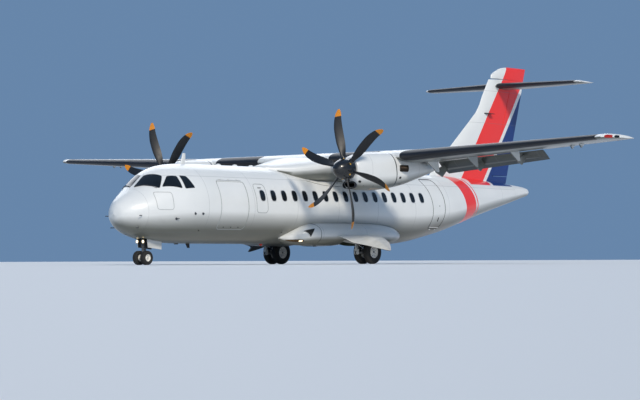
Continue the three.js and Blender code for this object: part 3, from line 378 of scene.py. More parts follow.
RED = "#f2352c"
BLUE = "#0b2f73"
STRIPE_LEAN = 0.72  # the fin's stripes lean aft this much for each metre of height
STRIPE_LEVEL = 3.2  # the height where the stripes' stations are taken
STRIPE_FOOT = 2.95
FIN_STRIPES = [(RED, 18.10, 19.62), (BLUE, 19.84, 22.60)]  # colour, first and last station
BAND_LEAN = 0.3
BAND_LEVEL = 2.3
TAIL_BANDS = [(16.95, 17.75), (17.86, 17.93)]  # two red bands round the rear fuselage


def leaning(start, end, lean, level):
    """The two planes that bound a band which leans along the fuselage, from one station to another."""
    return [((0, 1, lean), y(start) + lean * level), ((0, -1, -lean), -y(end) - lean * level)]


fin_bands = [(shade, leaning(start, end, -STRIPE_LEAN, STRIPE_LEVEL) + [((0, 0, 1), STRIPE_FOOT)])
             for shade, start, end in FIN_STRIPES]
hull_bands = [(RED, leaning(start, end, BAND_LEAN, BAND_LEVEL)) for start, end in TAIL_BANDS]
hull_paint = topcoat("polyurethane_topcoat_on_alloy", bands=hull_bands + fin_bands, grime_and_shade=0.75,
                     joints=[((0, 1, 0), y(RADOME_END), 2.15), ((0, 0, 1), 1.02, 1.8)])
shell_paint = topcoat("polyurethane_topcoat_on_composite", grime_and_shade=0.6,
                      joints=[((0, 1, 0), y(TAIL_CONE_START), 40)])


# Zinc chromate primer covers the insides of the bays and wells; the cabin is lined with moulded
# panels. Both are matt, as are the other plain finishes of rubber, enamel, moulding and metal.
def matt(name, colour, second, scale=12, roughness=0.7, metallic=0.0, bumps=0.15):
    """A plain finish: two near shades in patches, with a fine rough surface."""
    finish, surface, place, patches, shade = mottled(name, colour, second, scale, 6)
    rough = add(finish, "MapRange", {
        "Value": patches, "To Min": roughness - 0.1, "To Max": roughness + 0.1})
    grain = add(finish, "TexNoise", {"Vector": place, "Scale": scale * 12, "Detail": 2})
    bump = add(finish, "Bump", {"Height": grain, "Strength": bumps, "Distance": 0.002})
    plug(finish, surface, {"Base Color": shade, "Roughness": rough, "Normal": bump, "Metallic": metallic})
    return finish


primer = matt("chromate_primer", "#5d6448", "#4b5140")
lining = matt("moulded_cabin_panel", "#a7a59c", "#97958d")
sealant = matt("silicone_rubber_seal", "#3c4043", "#2e3133", roughness=0.55)

# "edge" is the height of a hinge line, and "room" the clearance round its barrel
PASSENGER_DOOR = {"start": 14.69, "end": 15.44, "low": 1.30, "high": 3.03, "depth": 0.53, "edge": 1.30,
                  "room": 0.015}
CARGO_DOOR = {"start": 3.43, "end": 4.705, "low": 1.15, "high": 2.68, "depth": 0.75, "edge": 2.68,
              "room": 0.005}
SERVICE_DOOR = {"start": 14.50, "end": 15.11, "low": 1.30, "high": 2.52}
HATCH = {"start": 5.13, "end": 5.64, "low": 1.70, "high": 2.61}
DOOR_REACH = 3.0
DOOR_CORNER = 0.11
DOOR_WALL = 0.06
DOOR_GAP = 0.006
HINGE_RADIUS = 0.018
HINGE_INSET = 0.03


def door_stand(door):
    """How far a door is turned in plan to stand square to its hinge, and where it turns."""
    start, end, low, high = [door[key] for key in ("start", "end", "low", "high")]
    edge = door.get("edge")
    turn = math.atan2(skin_x(start, edge) - skin_x(end, edge), end - start) if edge else 0
    return turn, skin_x((start + end) / 2, (low + high) / 2)


def door_block(door, spread, depth):
    """A rounded block through the port skin, turned in plan to stand square to the door's hinge."""
    start, end, low, high = [door[key] for key in ("start", "end", "low", "high")]
    turn, pivot = door_stand(door)
    bm = block((DOOR_REACH, end - start + 2 * spread, high - low + 2 * spread))
    corners = [e for e in bm.edges if abs(e.verts[0].co.x - e.verts[1].co.x) > 1]
    bmesh.ops.bevel(bm, geom=corners, offset=DOOR_CORNER + spread, offset_type="OFFSET", affect="EDGES",
                    segments=8, profile=0.5, material=-1)
    bmesh.ops.translate(bm, verts=bm.verts, vec=(DOOR_REACH / 2 + depth - pivot, 0, 0))
    bmesh.ops.rotate(bm, verts=bm.verts, matrix=Matrix.Rotation(turn, 3, "Z"))
    bmesh.ops.translate(bm, verts=bm.verts, vec=spot(pivot, (start + end) / 2, (low + high) / 2))
    return bm


def rod(start, end, radius, end_radius=None, segments=20, short=0):
    """A closed round rod or cone between two points, or that much shorter than the way between them."""
    start, end = Vector(start), Vector(end)
    run = end - start
    turn = run.to_track_quat("Z", "Y").to_matrix().to_4x4()
    bm = bmesh.new()
    bmesh.ops.create_cone(
        bm, cap_ends=True, segments=segments, radius1=radius,
        radius2=radius if end_radius is None else end_radius, depth=run.length - short,
        matrix=Matrix.Translation((start + end) / 2) @ turn)
    return bm


def hinge_bar(door, radius):
    """A round bar along a door's hinge line, a little short of its ends."""
    ends = [on_skin(door[key], door["edge"]) for key in ("start", "end")]
    return rod(*ends, radius, segments=24, short=2 * HINGE_INSET)


def hull_part(name, start, end, finish):
    """The stretch of the fuselage's tube between two stations."""
    bm = skin(lambda along, around: hull_point(
        at_share(SECTIONS, both_ends(along)), 2 * math.pi * around), 150, 88)
    for station, way in ((start, -1), (end, 1)):
        if 0 < station < LENGTH:
            trim(bm, spot(0, station, 0), (0, way, 0))
    return as_object(name, bm, finish)


WHITE = "white_composite"
fit(hull_part("radome_shell", 0, RADOME_END, shell_paint), WHITE, nodes=["radome"])
fit(hull_part("tail_cone_shell", TAIL_CONE_START, LENGTH, shell_paint), WHITE, nodes=["tail_cone"])
fuselage = hull_part("fuselage_skin", RADOME_END + SEAM, TAIL_CONE_START - SEAM, hull_paint)
HINGED = (PASSENGER_DOOR, CARGO_DOOR)
openings = [door_block(door, DOOR_GAP, door["depth"]) for door in HINGED]
openings += [hinge_bar(door, HINGE_RADIUS + door["room"]) for door in HINGED]
for opening in openings:
    carve(fuselage, as_object("doorway", opening, lining))
NOSE_BAY = {"wide": 0.47, "start": 1.04, "end": 1.96, "low": 0.5, "top": 1.12}
wide, start, end, low, top = [NOSE_BAY[key] for key in ("wide", "start", "end", "low", "top")]
bay = block((wide, end - start, top - low), spot(0, (start + end) / 2, (top + low) / 2))
carve(fuselage, as_object("nose_bay", bay, primer))
fit(fuselage, "white_skin", nodes=[
    "fuselage", "service_door", "emergency_hatch_port", "emergency_hatch_starboard"])

# Each door is a stiff panel of the same skin, 60 mm thick, on a hinge barrel, with a rubber seal round
# its doorway. The service door and the hatches are drawn by their seals alone.
PANEL_MARGIN = 0.1
SEAL_GAP = 0.016
SEAL_WIDTH = 0.016


def sheet(place, along, around):
    """A grid that is left open."""
    return skin(place, along, around, closed=False)


def wall(thing, thickness, offset=0):
    """Gives an open sheet its thickness, on both sides unless an offset moves it."""
    shell = thing.modifiers.new("wall", "SOLIDIFY")
    shell.thickness = thickness
    shell.offset = offset
    settle(thing)
    return thing


def merged(parts):
    """Several bmeshes as one."""
    whole = bmesh.new()
    for part in parts:
        mesh = bpy.data.meshes.new("part")
        part.to_mesh(mesh)
        part.free()
        whole.from_mesh(mesh)
        bpy.data.meshes.remove(mesh)
    return whole


def piece(name, shape, finish, slot, body="airframe", nodes=(), sharp=35, thick=0):
    """A finished piece from one bmesh or a list of them; thick gives an open sheet its thickness."""
    thing = as_object(name, merged(shape) if isinstance(shape, list) else shape, finish, sharp=sharp)
    if thick:
        wall(thing, thick)
    return fit(thing, slot, body, nodes)


def upward(bm, axis):
    """Turns an open sheet's faces towards the positive end of an axis."""
    if sum(face.normal[axis] for face in bm.faces) < 0:
        bmesh.ops.reverse_faces(bm, faces=bm.faces)
    return bm


def door_panel(name, door):
    """The door's own stretch of skin, with its thickness, cut to a rounded outline."""
    def place(along, up):
        return on_skin(
            door["start"] - PANEL_MARGIN + along * (door["end"] - door["start"] + 2 * PANEL_MARGIN),
            door["low"] - PANEL_MARGIN + up * (door["high"] - door["low"] + 2 * PANEL_MARGIN))

    panel = wall(as_object(name, upward(sheet(place, 24, 40), 0), hull_paint), DOOR_WALL, -1)
    carve(panel, as_object("door_outline", door_block(door, 0, 0), lining), "INTERSECT")
    return panel


for body, door, barrel in (("passenger_door", PASSENGER_DOOR, "sill_hinge_barrel"),
                           ("cargo_door", CARGO_DOOR, "head_hinge_barrel")):
    fit(door_panel(f"{body}_panel", door), "white_skin", body, [body])
    piece(barrel, hinge_bar(door, HINGE_RADIUS), hull_paint, "white_skin", body)


def skin_ring(name, outline, width, finish, slot, rise=0.004, steps=160):
    """A thin strip that follows an outline over the fuselage's skin."""
    def place(along, across):
        way, station, z = outline(along)
        ahead = Vector(outline((along + 3e-3) % 1)) - Vector((way, station, z))
        side = Vector((0, -ahead.z, ahead.y)).normalized() * (across - 0.5) * width
        s, h = station + side.y, z + side.z
        return spot(way * skin_x(s, h, rise), s, h)

    return piece(name, sheet(place, steps, 1), finish, slot, thick=0.006)


def square_walk(share, eased=False):
    """A point on the edge of a square from -1 to 1; an eased walk crowds towards the corners."""
    leg, run = divmod(4 * (share % 1), 1)
    run = math.sin(math.pi * (run - 0.5)) if eased else 2 * run - 1
    return [(1, run), (-run, 1), (-1, -run), (run, -1)][int(leg)]


def rounded(start, end, low, high, way, power):
    """The outline of a rounded rectangle on the skin, as a function of the share round it."""
    def at(share):
        across, up = square_walk(share)
        pull = (abs(across) ** power + abs(up) ** power) ** (-1 / power)
        station = (start + end) / 2 + across * pull * (end - start) / 2
        return way, station, (low + high) / 2 + up * pull * (high - low) / 2
    return at


def door_rim(door, way, low_gap, high_gap):
    """The line of a door's seal on the skin: a rectangle with round corners, just outside the door."""
    turn, pivot = door_stand(door)
    start, end, low, high = [door[key] for key in ("start", "end", "low", "high")]
    corner = DOOR_CORNER + SEAL_GAP
    middle = Vector(((start + end) / 2, (low - low_gap + high + high_gap) / 2))
    half = Vector(((end - start) / 2 + SEAL_GAP, (high - low + low_gap + high_gap) / 2))

    def at(share):
        across, up = square_walk(share, eased=True)
        edge = Vector((across * half.x, up * half.y))
        core = Vector([max(corner - size, min(size - corner, place)) for place, size in zip(edge, half)])
        out = core + (edge - core).normalized() * corner
        station, z = middle.x + out.x, middle.y + out.y
        for _ in range(3):
            inward = skin_x(station, z) - pivot
            station = middle.x + out.x / math.cos(turn) + inward * math.tan(turn)
        return way, station, z
    return at


grey_seal = matt("grey_silicone_seal", "#a9adae", "#9a9fa0", roughness=0.5, bumps=0.05)
SEALS = [  # name, door, side, how far the seal lies below and above the door, rubber
    ("passenger_door_seal", PASSENGER_DOOR, 1, 0.052, SEAL_GAP, sealant),
    ("cargo_door_seal", CARGO_DOOR, 1, SEAL_GAP, 0.032, grey_seal),
    ("service_door_seal", SERVICE_DOOR, -1, SEAL_GAP, SEAL_GAP, sealant),
    ("hatch_seal_port", HATCH, 1, SEAL_GAP, SEAL_GAP, grey_seal),
    ("hatch_seal_starboard", HATCH, -1, SEAL_GAP, SEAL_GAP, grey_seal),
]
for name, door, way, low_gap, high_gap, finish in SEALS:
    skin_ring(name, door_rim(door, way, low_gap, high_gap), SEAL_WIDTH, finish, "tyre_rubber")

# Cabin windows are stretched acrylic, each in a polished alloy frame; the glass is opaque and near-black,
# painted shade of the unlit cabin. The row climbs a little towards the tail, as the floor does.
glass, surface, _, _, cabin_shade = mottled("stretched_acrylic_over_dark_cabin", "#080b0f", "#1b232b", 3.0, 2)
plug(glass, surface, {"Base Color": cabin_shade, "Roughness": 0.2, "IOR": 1.45})
frame_alloy = matt("polished_alloy_frame", "#d4d6d6", "#c3c6c7", roughness=0.35, metallic=0.4, bumps=0.05)
WINDOW = {"first": 5.45, "pitch": 0.5375, "count": 17, "half": 0.1175, "tall": 0.1725, "rim": 0.022,
          "lap": 0.01, "height": 2.25, "climb": 0.1}
SIDES = (("port", 1), ("starboard", -1))


def patch(point_at, power, steps=14):
    """A sheet over a surface, whose outline goes from an oval (power 2) towards a rectangle (9)."""
    bm = bmesh.new()
    bmesh.ops.create_grid(bm, x_segments=steps, y_segments=steps, size=1)
    for vert in bm.verts:
        across, up, _ = vert.co
        reach = max(abs(across), abs(up))
        pull = reach / (abs(across) ** power + abs(up) ** power) ** (1 / power) if reach > 0 else 1
        vert.co = point_at(across * pull, up * pull)
    bmesh.ops.recalc_face_normals(bm, faces=bm.faces)
    return bm


for side, way in SIDES:
    panes = []
    for i in range(WINDOW["count"]):
        station = WINDOW["first"] + i * WINDOW["pitch"]
        z = WINDOW["height"] + WINDOW["climb"] * i / WINDOW["count"]
        half, tall = WINDOW["half"], WINDOW["tall"]
        panes.append(patch(lambda across, up: spot(
            way * skin_x(station + half * across, z + tall * up, 0.006), station + half * across,
            z + tall * up), 3, 10))
        half, tall = half + WINDOW["lap"], tall + WINDOW["lap"]
        skin_ring(f"window_frame_{side}_{i + 1}",
                  rounded(station - half, station + half, z - tall, z + tall, way, 3),
                  WINDOW["rim"], frame_alloy, "leg_steel", 0.003, 40)
    piece(f"cabin_windows_{side}", panes, glass, "spinner_black", thick=0.004)

# The cockpit glass is laminated and heated, in six panes with white posts; it is near-black, painted shade
# of the unlit flight deck.
# Corners are stations and heights on the nose's skin, clockwise from the lower front one, with the
# distance from the centre line in place of the height where it isn't 0.
COCKPIT = [
    [(0.80, 2.40, 0.07), (1.26, 2.84, 0.06), (1.52, 2.79, 0.62), (1.21, 2.41, 0.82)],
    [(1.29, 2.44, 0.0), (1.62, 2.79, 0.0), (1.93, 2.80, 0.0), (1.92, 2.40, 0.0)],
    [(2.02, 2.40, 0.0), (2.03, 2.82, 0.0), (2.26, 2.80, 0.0), (2.40, 2.43, 0.0)],
]


def nose_pane(corners, way, rise):
    """A pane on the nose's skin between four corners, with its own corners rounded."""
    turns = []
    for station, z, x in corners:
        half, top, mid, _ = hull_row(round(station, 5))
        turns.append((station, math.acos(min(1.0, x / half)) if x
                      else math.asin(min(1.0, (z - mid) / (top - mid)))))

    def place(across, high):
        along, up = (across + 1) / 2, (high + 1) / 2
        a, b, c, d = turns
        foot = [a[i] + (d[i] - a[i]) * along for i in (0, 1)]
        head = [b[i] + (c[i] - b[i]) * along for i in (0, 1)]
        station, turn = [foot[i] + (head[i] - foot[i]) * up for i in (0, 1)]
        point = hull_point(station, turn, rise)
        point.x *= way
        return point
    return patch(place, 13)


for side, way in SIDES:
    panes = [nose_pane(corners, way, 0.004) for corners in COCKPIT]
    piece(f"cockpit_glass_{side}", panes, glass, "spinner_black", thick=0.006)

# The wing, tail, flaps and landing gear keep the solids of the frame: sheet, forged and machined
# parts whose triangles are joined here, so that their curved stretches shade smooth.
# The darker colours that these finishes take on faces that look down are painted shade.
wing_paint = topcoat("polyurethane_topcoat_on_wing", shade_below="#4f5249",
                     joints=[((1, 0, 0), 0.0, 1.3), ((0, 1, 0), y(9.05), 1.28)])
flap_paint = topcoat("grey_topcoat_on_flap", "#6a6d67", "#5f625c", joints=[((1, 0, 0), 0.2, 1.7)],
                     shade_below="#3f423e")
fin_paint = topcoat("polyurethane_topcoat_on_fin", bands=fin_bands, joints=[((0, 0, 1), 4.1, 1.25)])
tail_paint = topcoat("polyurethane_topcoat_on_tailplane", joints=[((1, 0, 0), 0.0, 1.15)],
                     shade_below="#5f6158")
leg_enamel = matt("grey_gear_enamel", "#c9ccca", "#b6b9b7", roughness=0.4, bumps=0.08)
arm_enamel = matt("dark_grey_gear_enamel", "#4b4f52", "#3d4144", roughness=0.45, bumps=0.08)
chrome = matt("hard_chrome_on_piston", "#d8dadc", "#c9cccf", roughness=0.18, metallic=1.0, bumps=0.03)
# Near-black for the insides of doors and the faces under the rudder and leg doors: dark enamel, darkened
# further as painted shade.
shaded_lining = matt("dark_grey_enamel_and_painted_shade", "#2c2f30", "#222526", roughness=0.6)
forging = matt("primed_forging", "#4a4d50", "#3a3d40", roughness=0.5, metallic=0.6)
WING_BREAK = 4.9
WING_TIP = 12.0
ROOT = {"lead": 8.55, "chord": 2.57, "height": 3.53, "thick": 0.165}
TIP = {"lead": 9.13, "chord": 1.46, "thick": 0.125}
DIHEDRAL = math.radians(3)
INCIDENCE = math.radians(1.5)
CAMBER = 0.08
TAILPLANE = [  # distance from the centre line, leading edge, trailing edge, thickness
    (0.0, 20.37, 22.48, 0.25),
    (3.45, 20.80, 21.90, 0.135),
    (3.60, 20.88, 21.88, 0.09),
    (3.655, 21.00, 21.85, 0.03),
]
TAILPLANE_HEIGHT = 6.82
FIN = [  # height, leading edge, trailing edge, thickness
    (3.06, 16.10, 21.20, 0.330),
    (3.40, 16.42, 21.30, 0.325),
    (5.42, 18.88, 21.93, 0.265),
    (5.73, 19.25, 22.03, 0.255),
    (6.02, 19.48, 22.12, 0.248),
    (6.41, 19.69, 22.24, 0.240),
    (7.10, 20.14, 22.43, 0.225),
]


def half_thickness(u):
    """Half the thickness of a symmetric aerofoil of unit chord and unit thickness."""
    return 5 * (0.2969 * math.sqrt(u) - 0.126 * u - 0.3516 * u ** 2 + 0.2843 * u ** 3 - 0.1036 * u ** 4)


def wing_section(x, lead, chord, thick, u, face, grow):
    """A point of an aerofoil section set at the wing's incidence and dihedral."""
    back = (u - 0.25) * (chord + 2 * grow)
    rise = face * half_thickness(u) * (chord * thick + 2 * grow) + CAMBER * u * (1 - u) * chord
    height = ROOT["height"] + max(0.0, abs(x) - WING_BREAK) * math.tan(DIHEDRAL)
    return spot(x, lead + 0.25 * chord + back * math.cos(INCIDENCE) + rise * math.sin(INCIDENCE),
                height - back * math.sin(INCIDENCE) + rise * math.cos(INCIDENCE))


def wing_point(x, u, face, grow=0.0):
    """A point of the wing's skin: u runs aft along the chord, and face is 1 on top and -1 below."""
    share = max(0.0, abs(x) - WING_BREAK) / (WING_TIP - WING_BREAK)
    lead, chord, thick = [ROOT[key] + share * (TIP[key] - ROOT[key]) for key in ("lead", "chord", "thick")]
    return wing_section(x, lead, chord, thick, u, face, grow)


def in_line(rows, at):
    """A table's row at any distance, on straight lines between its rows."""
    a, b = next((pair for pair in zip(rows, rows[1:]) if at <= pair[1][0]), rows[-2:])
    share = (at - a[0]) / (b[0] - a[0])
    return [a[i] + share * (b[i] - a[i]) for i in range(1, len(a))]


def on_chord(row, u, face, grow=0.0):
    """Where a tail section's skin lies: its station, and how far from the chord."""
    lead, trail, thick = row
    return lead - grow + u * (trail - lead + 2 * grow), face * half_thickness(u) * (thick + 2 * grow)


def tail_point(x, u, face, grow=0.0):
    station, rise = on_chord(in_line(TAILPLANE, abs(x)), u, face, grow)
    return spot(x, station, TAILPLANE_HEIGHT + rise)


def fin_point(z, u, face):
    station, out = on_chord(in_line(FIN, z), u, face)
    return spot(out, station, z)


def surface_normal(surface_point, span, point):
    """The normal of a tapered surface beside a point; span is 0 or 2, the axis that it runs along."""
    step = 0.002
    s = point[span]
    lead, trail = surface_point(s, 0, 1), surface_point(s, 1, 1)
    u = (point.y - lead.y) / (trail.y - lead.y)
    if u < step:
        forward = lead - trail
        edge = surface_point(s + step, 0, 1) - surface_point(s - step, 0, 1)
        return (forward - forward.project(edge)).normalized()
    u = min(u, 1 - 2 * step)
    upper, lower = surface_point(s, u, 1), surface_point(s, u, -1)
    face = 1 if (point - (upper + lower) / 2).dot(upper - lower) > 0 else -1
    along = surface_point(s + step, u, face) - surface_point(s - step, u, face)
    back = surface_point(s, u + step / 2, face) - surface_point(s, u - step / 2, face)
    normal = along.cross(back).normalized()
    return normal if normal.dot(upper - lower) * face > 0 else -normal


SKIN_SPREAD = math.cos(math.radians(42))


def shade_as(thing, surface_point, span):
    """Gives a copy's skin the shading of its true curved surface, and leaves its cut faces flat."""
    mesh = thing.data
    normals = []
    for face in mesh.polygons:
        for corner in face.vertices:
            smooth = surface_normal(surface_point, span, mesh.vertices[corner].co)
            normals.append(smooth if smooth.dot(face.normal) > SKIN_SPREAD else face.normal.copy())
    mesh.normals_split_custom_set(normals)


def joined(node, top=None):
    """A frame node's own mesh with its triangles joined up, cut off at a height if one is given."""
    bm = bmesh.new()
    bm.from_mesh(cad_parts[node].data)
    bmesh.ops.remove_doubles(bm, verts=bm.verts, dist=2 * WELD)
    if top:
        trim(bm, (0, 0, top), (0, 0, 1))
    bmesh.ops.dissolve_limit(bm, angle_limit=math.radians(0.3), verts=bm.verts, edges=bm.edges)
    return bm


def line_faces(faces, axis, limit):
    """Gives a piece's second finish to the faces that look past a limit one way along an axis."""
    for face in faces:
        face.material_index = 1 if face.normal[axis] * math.copysign(1, limit) > abs(limit) else 0


COPIES = [  # node, finish, slot, body
    ("wing", wing_paint, "white_skin", "airframe"),
    ("wing_root_fairing", shell_paint, WHITE, "airframe"),
    ("fin", fin_paint, "fin_paint", "airframe"),
    ("stabiliser", tail_paint, WHITE, "airframe"),
    ("nose_leg", arm_enamel, "leg_steel", "airframe"),
    ("nose_fork", arm_enamel, "leg_steel", "nose_steering"),
]
PAIRS = [  # part, finish, slot, whether it turns on its own joint
    ("elevator", tail_paint, WHITE, True),
    ("aileron", wing_paint, WHITE, True),
    ("inner_flap", flap_paint, "grey_composite", True),
    ("outer_flap", flap_paint, "grey_composite", True),
    ("main_leg", leg_enamel, "leg_steel", False),
    ("trailing_arm", arm_enamel, "leg_steel", False),
    ("shock_strut", chrome, "leg_steel", False),
    ("nose_gear_door", shell_paint, WHITE, False),
]
for side, _ in SIDES:
    COPIES += [(f"{part}_{side}", finish, slot, f"{part}_{side}" if turns else "airframe")
               for part, finish, slot, turns in PAIRS]
    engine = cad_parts[f"engine_{side}"]
    engine.data.materials.clear()
    engine.data.materials.append(forging)
SURFACES = {  # the true surface behind a copy's skin, and the axis of its span
    "wing": (wing_point, 0), "aileron_port": (wing_point, 0), "aileron_starboard": (wing_point, 0),
    "stabiliser": (tail_point, 0), "elevator_port": (tail_point, 0), "elevator_starboard": (tail_point, 0),
    "fin": (fin_point, 2),
}
# The nose-gear doors' inner faces take the near-black finish: painted shade.
LINED = {"nose_gear_door_port": -0.6, "nose_gear_door_starboard": 0.6}  # which way the inner face looks
for node, finish, slot, body in COPIES:
    shape = joined(node)
    if node in LINED:
        line_faces(shape.faces, 0, LINED[node])
    copied = fit(as_object(f"{node}_finish", shape, finish, shaded_lining, sharp=40), slot, body, [node])
    if node in SURFACES:
        shade_as(copied, *SURFACES[node])

# The wing tips and the rudder's horn are moulded composite caps, so they are lofted finely: the tip's
# nose sweeps back to a short straight end, and the horn closes the top of the fin.
TIP_CAP = [  # distance from the centre line, leading edge, chord, share of the wing's thickness
    (12.0003, 9.13, 1.46, 1.00),
    (12.11, 9.23, 1.38, 0.92),
    (12.20, 9.44, 1.18, 0.78),
    (12.26, 9.68, 0.95, 0.60),
    (12.285, 9.95, 0.69, 0.40),
]
HORN = [  # height, leading edge, trailing edge, thickness
    (7.105, 20.24, 22.43, 0.215),
    (7.21, 20.26, 22.465, 0.210),
    (7.40, 20.56, 22.52, 0.175),
    (7.54, 20.95, 22.565, 0.110),
    (7.59, 21.35, 22.575, 0.030),
]


def tip_point(x, u, face, grow=0.0):
    """A point of the wing tip's skin, on a smooth curve through its rows."""
    lead, chord, share = between(TIP_CAP, abs(x))
    return wing_section(x, lead, chord, TIP["thick"] * share * TIP["chord"] / chord, u, face, grow)


def horn_point(z, u, face):
    station, out = on_chord(between(HORN, z), u, face)
    return spot(out, station, z)


def cap(rows, point_at):
    """A closed loft over a table's rows, finer towards the last one; it starts at the trailing edge."""
    def place(along, around):
        turn = 2 * math.pi * around
        at = at_share(rows, math.sin(along * math.pi / 2))
        return point_at(at, (1 + math.cos(turn)) / 2, 1 if turn < math.pi else -1)
    return skin(place, 24, 48)


for side, way in SIDES:
    piece(f"wing_tip_cap_{side}", cap(TIP_CAP, lambda x, u, face: tip_point(way * x, u, face)), shell_paint,
          WHITE, nodes=[f"wing_tip_{side}"], sharp=60)
piece("rudder_horn_cap", cap(HORN, horn_point), fin_paint, "fin_paint", "rudder", sharp=60)
rudder = joined("rudder", HORN[0][0] + 0.001)
# The rudder's faces that look down take the near-black finish: painted shade.
line_faces(rudder.faces, 2, -0.9)
rudder_skin = as_object("rudder_skin", rudder, fin_paint, shaded_lining)
shade_as(rudder_skin, fin_point, 2)
fit(rudder_skin, "fin_paint", "rudder", ["rudder"])

# De-icing boots are black neoprene sheets glued over the leading edges of the wing and tailplane,
# with inflatable tubes that show as fine spanwise ridges.
boot_rubber, surface, place, _, black = mottled("neoprene_boot", "#10131b", "#1d212a", 2.5, 6)
ridges = add(boot_rubber, "TexWave", {
    "Vector": place, "Scale": 4.0, "Distortion": 0.4}, wave_type="BANDS", bands_direction="Z")
bump = add(boot_rubber, "Bump", {"Height": ridges.outputs[1], "Strength": 0.2, "Distance": 0.004})
plug(boot_rubber, surface, {"Base Color": black, "Normal": bump, "Roughness": 0.5})
BOOTS = [  # name, surface, from, to, share of the chord, rounding of the inner end
    ("inner_wing_boot", wing_point, 1.60, 3.56, 0.10, 0.0),
    ("outer_wing_boot", wing_point, 4.62, 11.80, 0.10, 0.28),
    ("tail_boot", tail_point, 0.16, 3.42, 0.12, 0.0),
]
TOP_REACH = 1.35
for name, surface_point, start, end, reach, rounding in BOOTS:
    for side, way in SIDES:
        def boot_place(along, around):
            q = 2 * around - 1
            first = start + rounding * q ** 6
            x = way * (first + along * (end - first))
            deeper = TOP_REACH if q > 0 else 1
            return surface_point(x, reach * deeper * q * q, 1 if q > 0 else -1, 0.003)

        piece(f"{name}_{side}", sheet(boot_place, 24, 32), boot_rubber, "tyre_rubber", thick=0.005)

# Antennas are moulded blades and domes, screwed to the skin: a tall blade and three domes on the roof,
# a flat one and a blade under the belly, and a black blade on each side of the fin.
antenna_white = matt("white_epoxy_moulding", "#e6e8e7", "#d7dad9", roughness=0.4, bumps=0.04)
antenna_black = matt("black_epoxy_moulding", "#15171a", "#202327", roughness=0.5, bumps=0.05)
PORT = Vector((1, 0, 0))
AFT = Vector((0, 1, 0))
UP = Vector((0, 0, 1))


def blade_antenna(foot, out, chord, thick, sweep):
    """A tapered aerofoil blade from its foot along a direction; sweep is how far its tip lies aft."""
    across = out.normalized().cross(AFT)

    def place(along, around):
        turn = 2 * math.pi * around
        u = (1 + math.cos(turn)) / 2
        size = 1 - 0.45 * along
        bulge = math.copysign(half_thickness(u), math.sin(turn)) * thick * size
        return foot + out * along + AFT * (sweep * along + (u - 0.5) * chord * size) + across * bulge
    return skin(place, 6, 24)


def dome(centre, size):
    """A rounded lump, half sunk in what carries it; size is its half width, length and height."""
    bm = bmesh.new()
    bmesh.ops.create_uvsphere(bm, u_segments=28, v_segments=16, radius=1)
    bmesh.ops.scale(bm, verts=bm.verts, vec=size)
    bmesh.ops.translate(bm, verts=bm.verts, vec=centre)
    return bm


ROOF = 3.262
BELLY = 0.68
roof = [blade_antenna(spot(0, 3.12, 3.24), UP * 0.36, 0.24, 0.05, 0.06)]
roof += [dome(spot(0, station, ROOF), (0.075, 0.11, 0.05)) for station in (4.81, 5.61, 6.41)]
belly = [blade_antenna(spot(0, 3.33, BELLY + 0.01), UP * -0.15, 0.20, 0.04, 0.05),
         dome(spot(0, 9.45, BELLY), (0.13, 0.32, 0.035))]
FIN_ANTENNA = {"station": 19.85, "height": 5.72}
root = fin_point(FIN_ANTENNA["height"], 0.32, 1).x - 0.01
fin_blades = [blade_antenna(spot(way * root, FIN_ANTENNA["station"], FIN_ANTENNA["height"]),
                            Vector((way * 0.21, 0, -0.02)), 0.42, 0.05, 0.12) for _, way in SIDES]
piece("roof_antennas", roof, antenna_white, WHITE, sharp=50)
piece("belly_antennas", belly, antenna_black, "spinner_black", sharp=50)
piece("fin_antennas", fin_blades, antenna_black, "spinner_black", sharp=50)

# Air data comes from heated steel probes on short masts, round static plates and a vane on each side
# of the nose; the wipers park along the foot of the windscreen.
probe_steel = matt("heated_stainless_steel", "#6d7072", "#53565a", roughness=0.35, metallic=0.8, bumps=0.04)
PROBES = [(0.52, 1.54), (0.56, 1.17)]  # station and height of each probe's mast
MAST = [(-0.02, 0.0), (0.04, -0.01), (0.06, -0.03), (0.062, -0.13)]  # how far out and aft it bends
PLATES = [(2.30, 1.62), (2.62, 1.62)]
VANE = (1.62, 1.45)


def tube(points, radius, sides=10):
    """A round tube along a line of points, closed at both ends."""
    bm = bmesh.new()
    rings = []
    for i, point in enumerate(points):
        ahead = Vector(points[min(i + 1, len(points) - 1)]) - Vector(points[max(i - 1, 0)])
        turn = ahead.to_track_quat("Z", "Y").to_matrix().to_4x4()
        ring = bmesh.ops.create_circle(
            bm, segments=sides, radius=radius, matrix=Matrix.Translation(point) @ turn)["verts"]
        rings.append([edge for edge in {e for vert in ring for e in vert.link_edges}])
    for near, far in zip(rings, rings[1:]):
        bmesh.ops.bridge_loops(bm, edges=near + far)
    return close(bm)


def boss(station, z, way, radius, proud):
    """A short round boss through the skin."""
    return rod(on_skin(station, z, way, -0.01), on_skin(station, z, way, proud), radius)


def on_nose(station, x, grow):
    """A point of the nose's upper skin at a distance from the centre line."""
    half = hull_row(round(station, 5))[0]
    return hull_point(station, math.acos(max(-1.0, min(1.0, x / half))), grow)


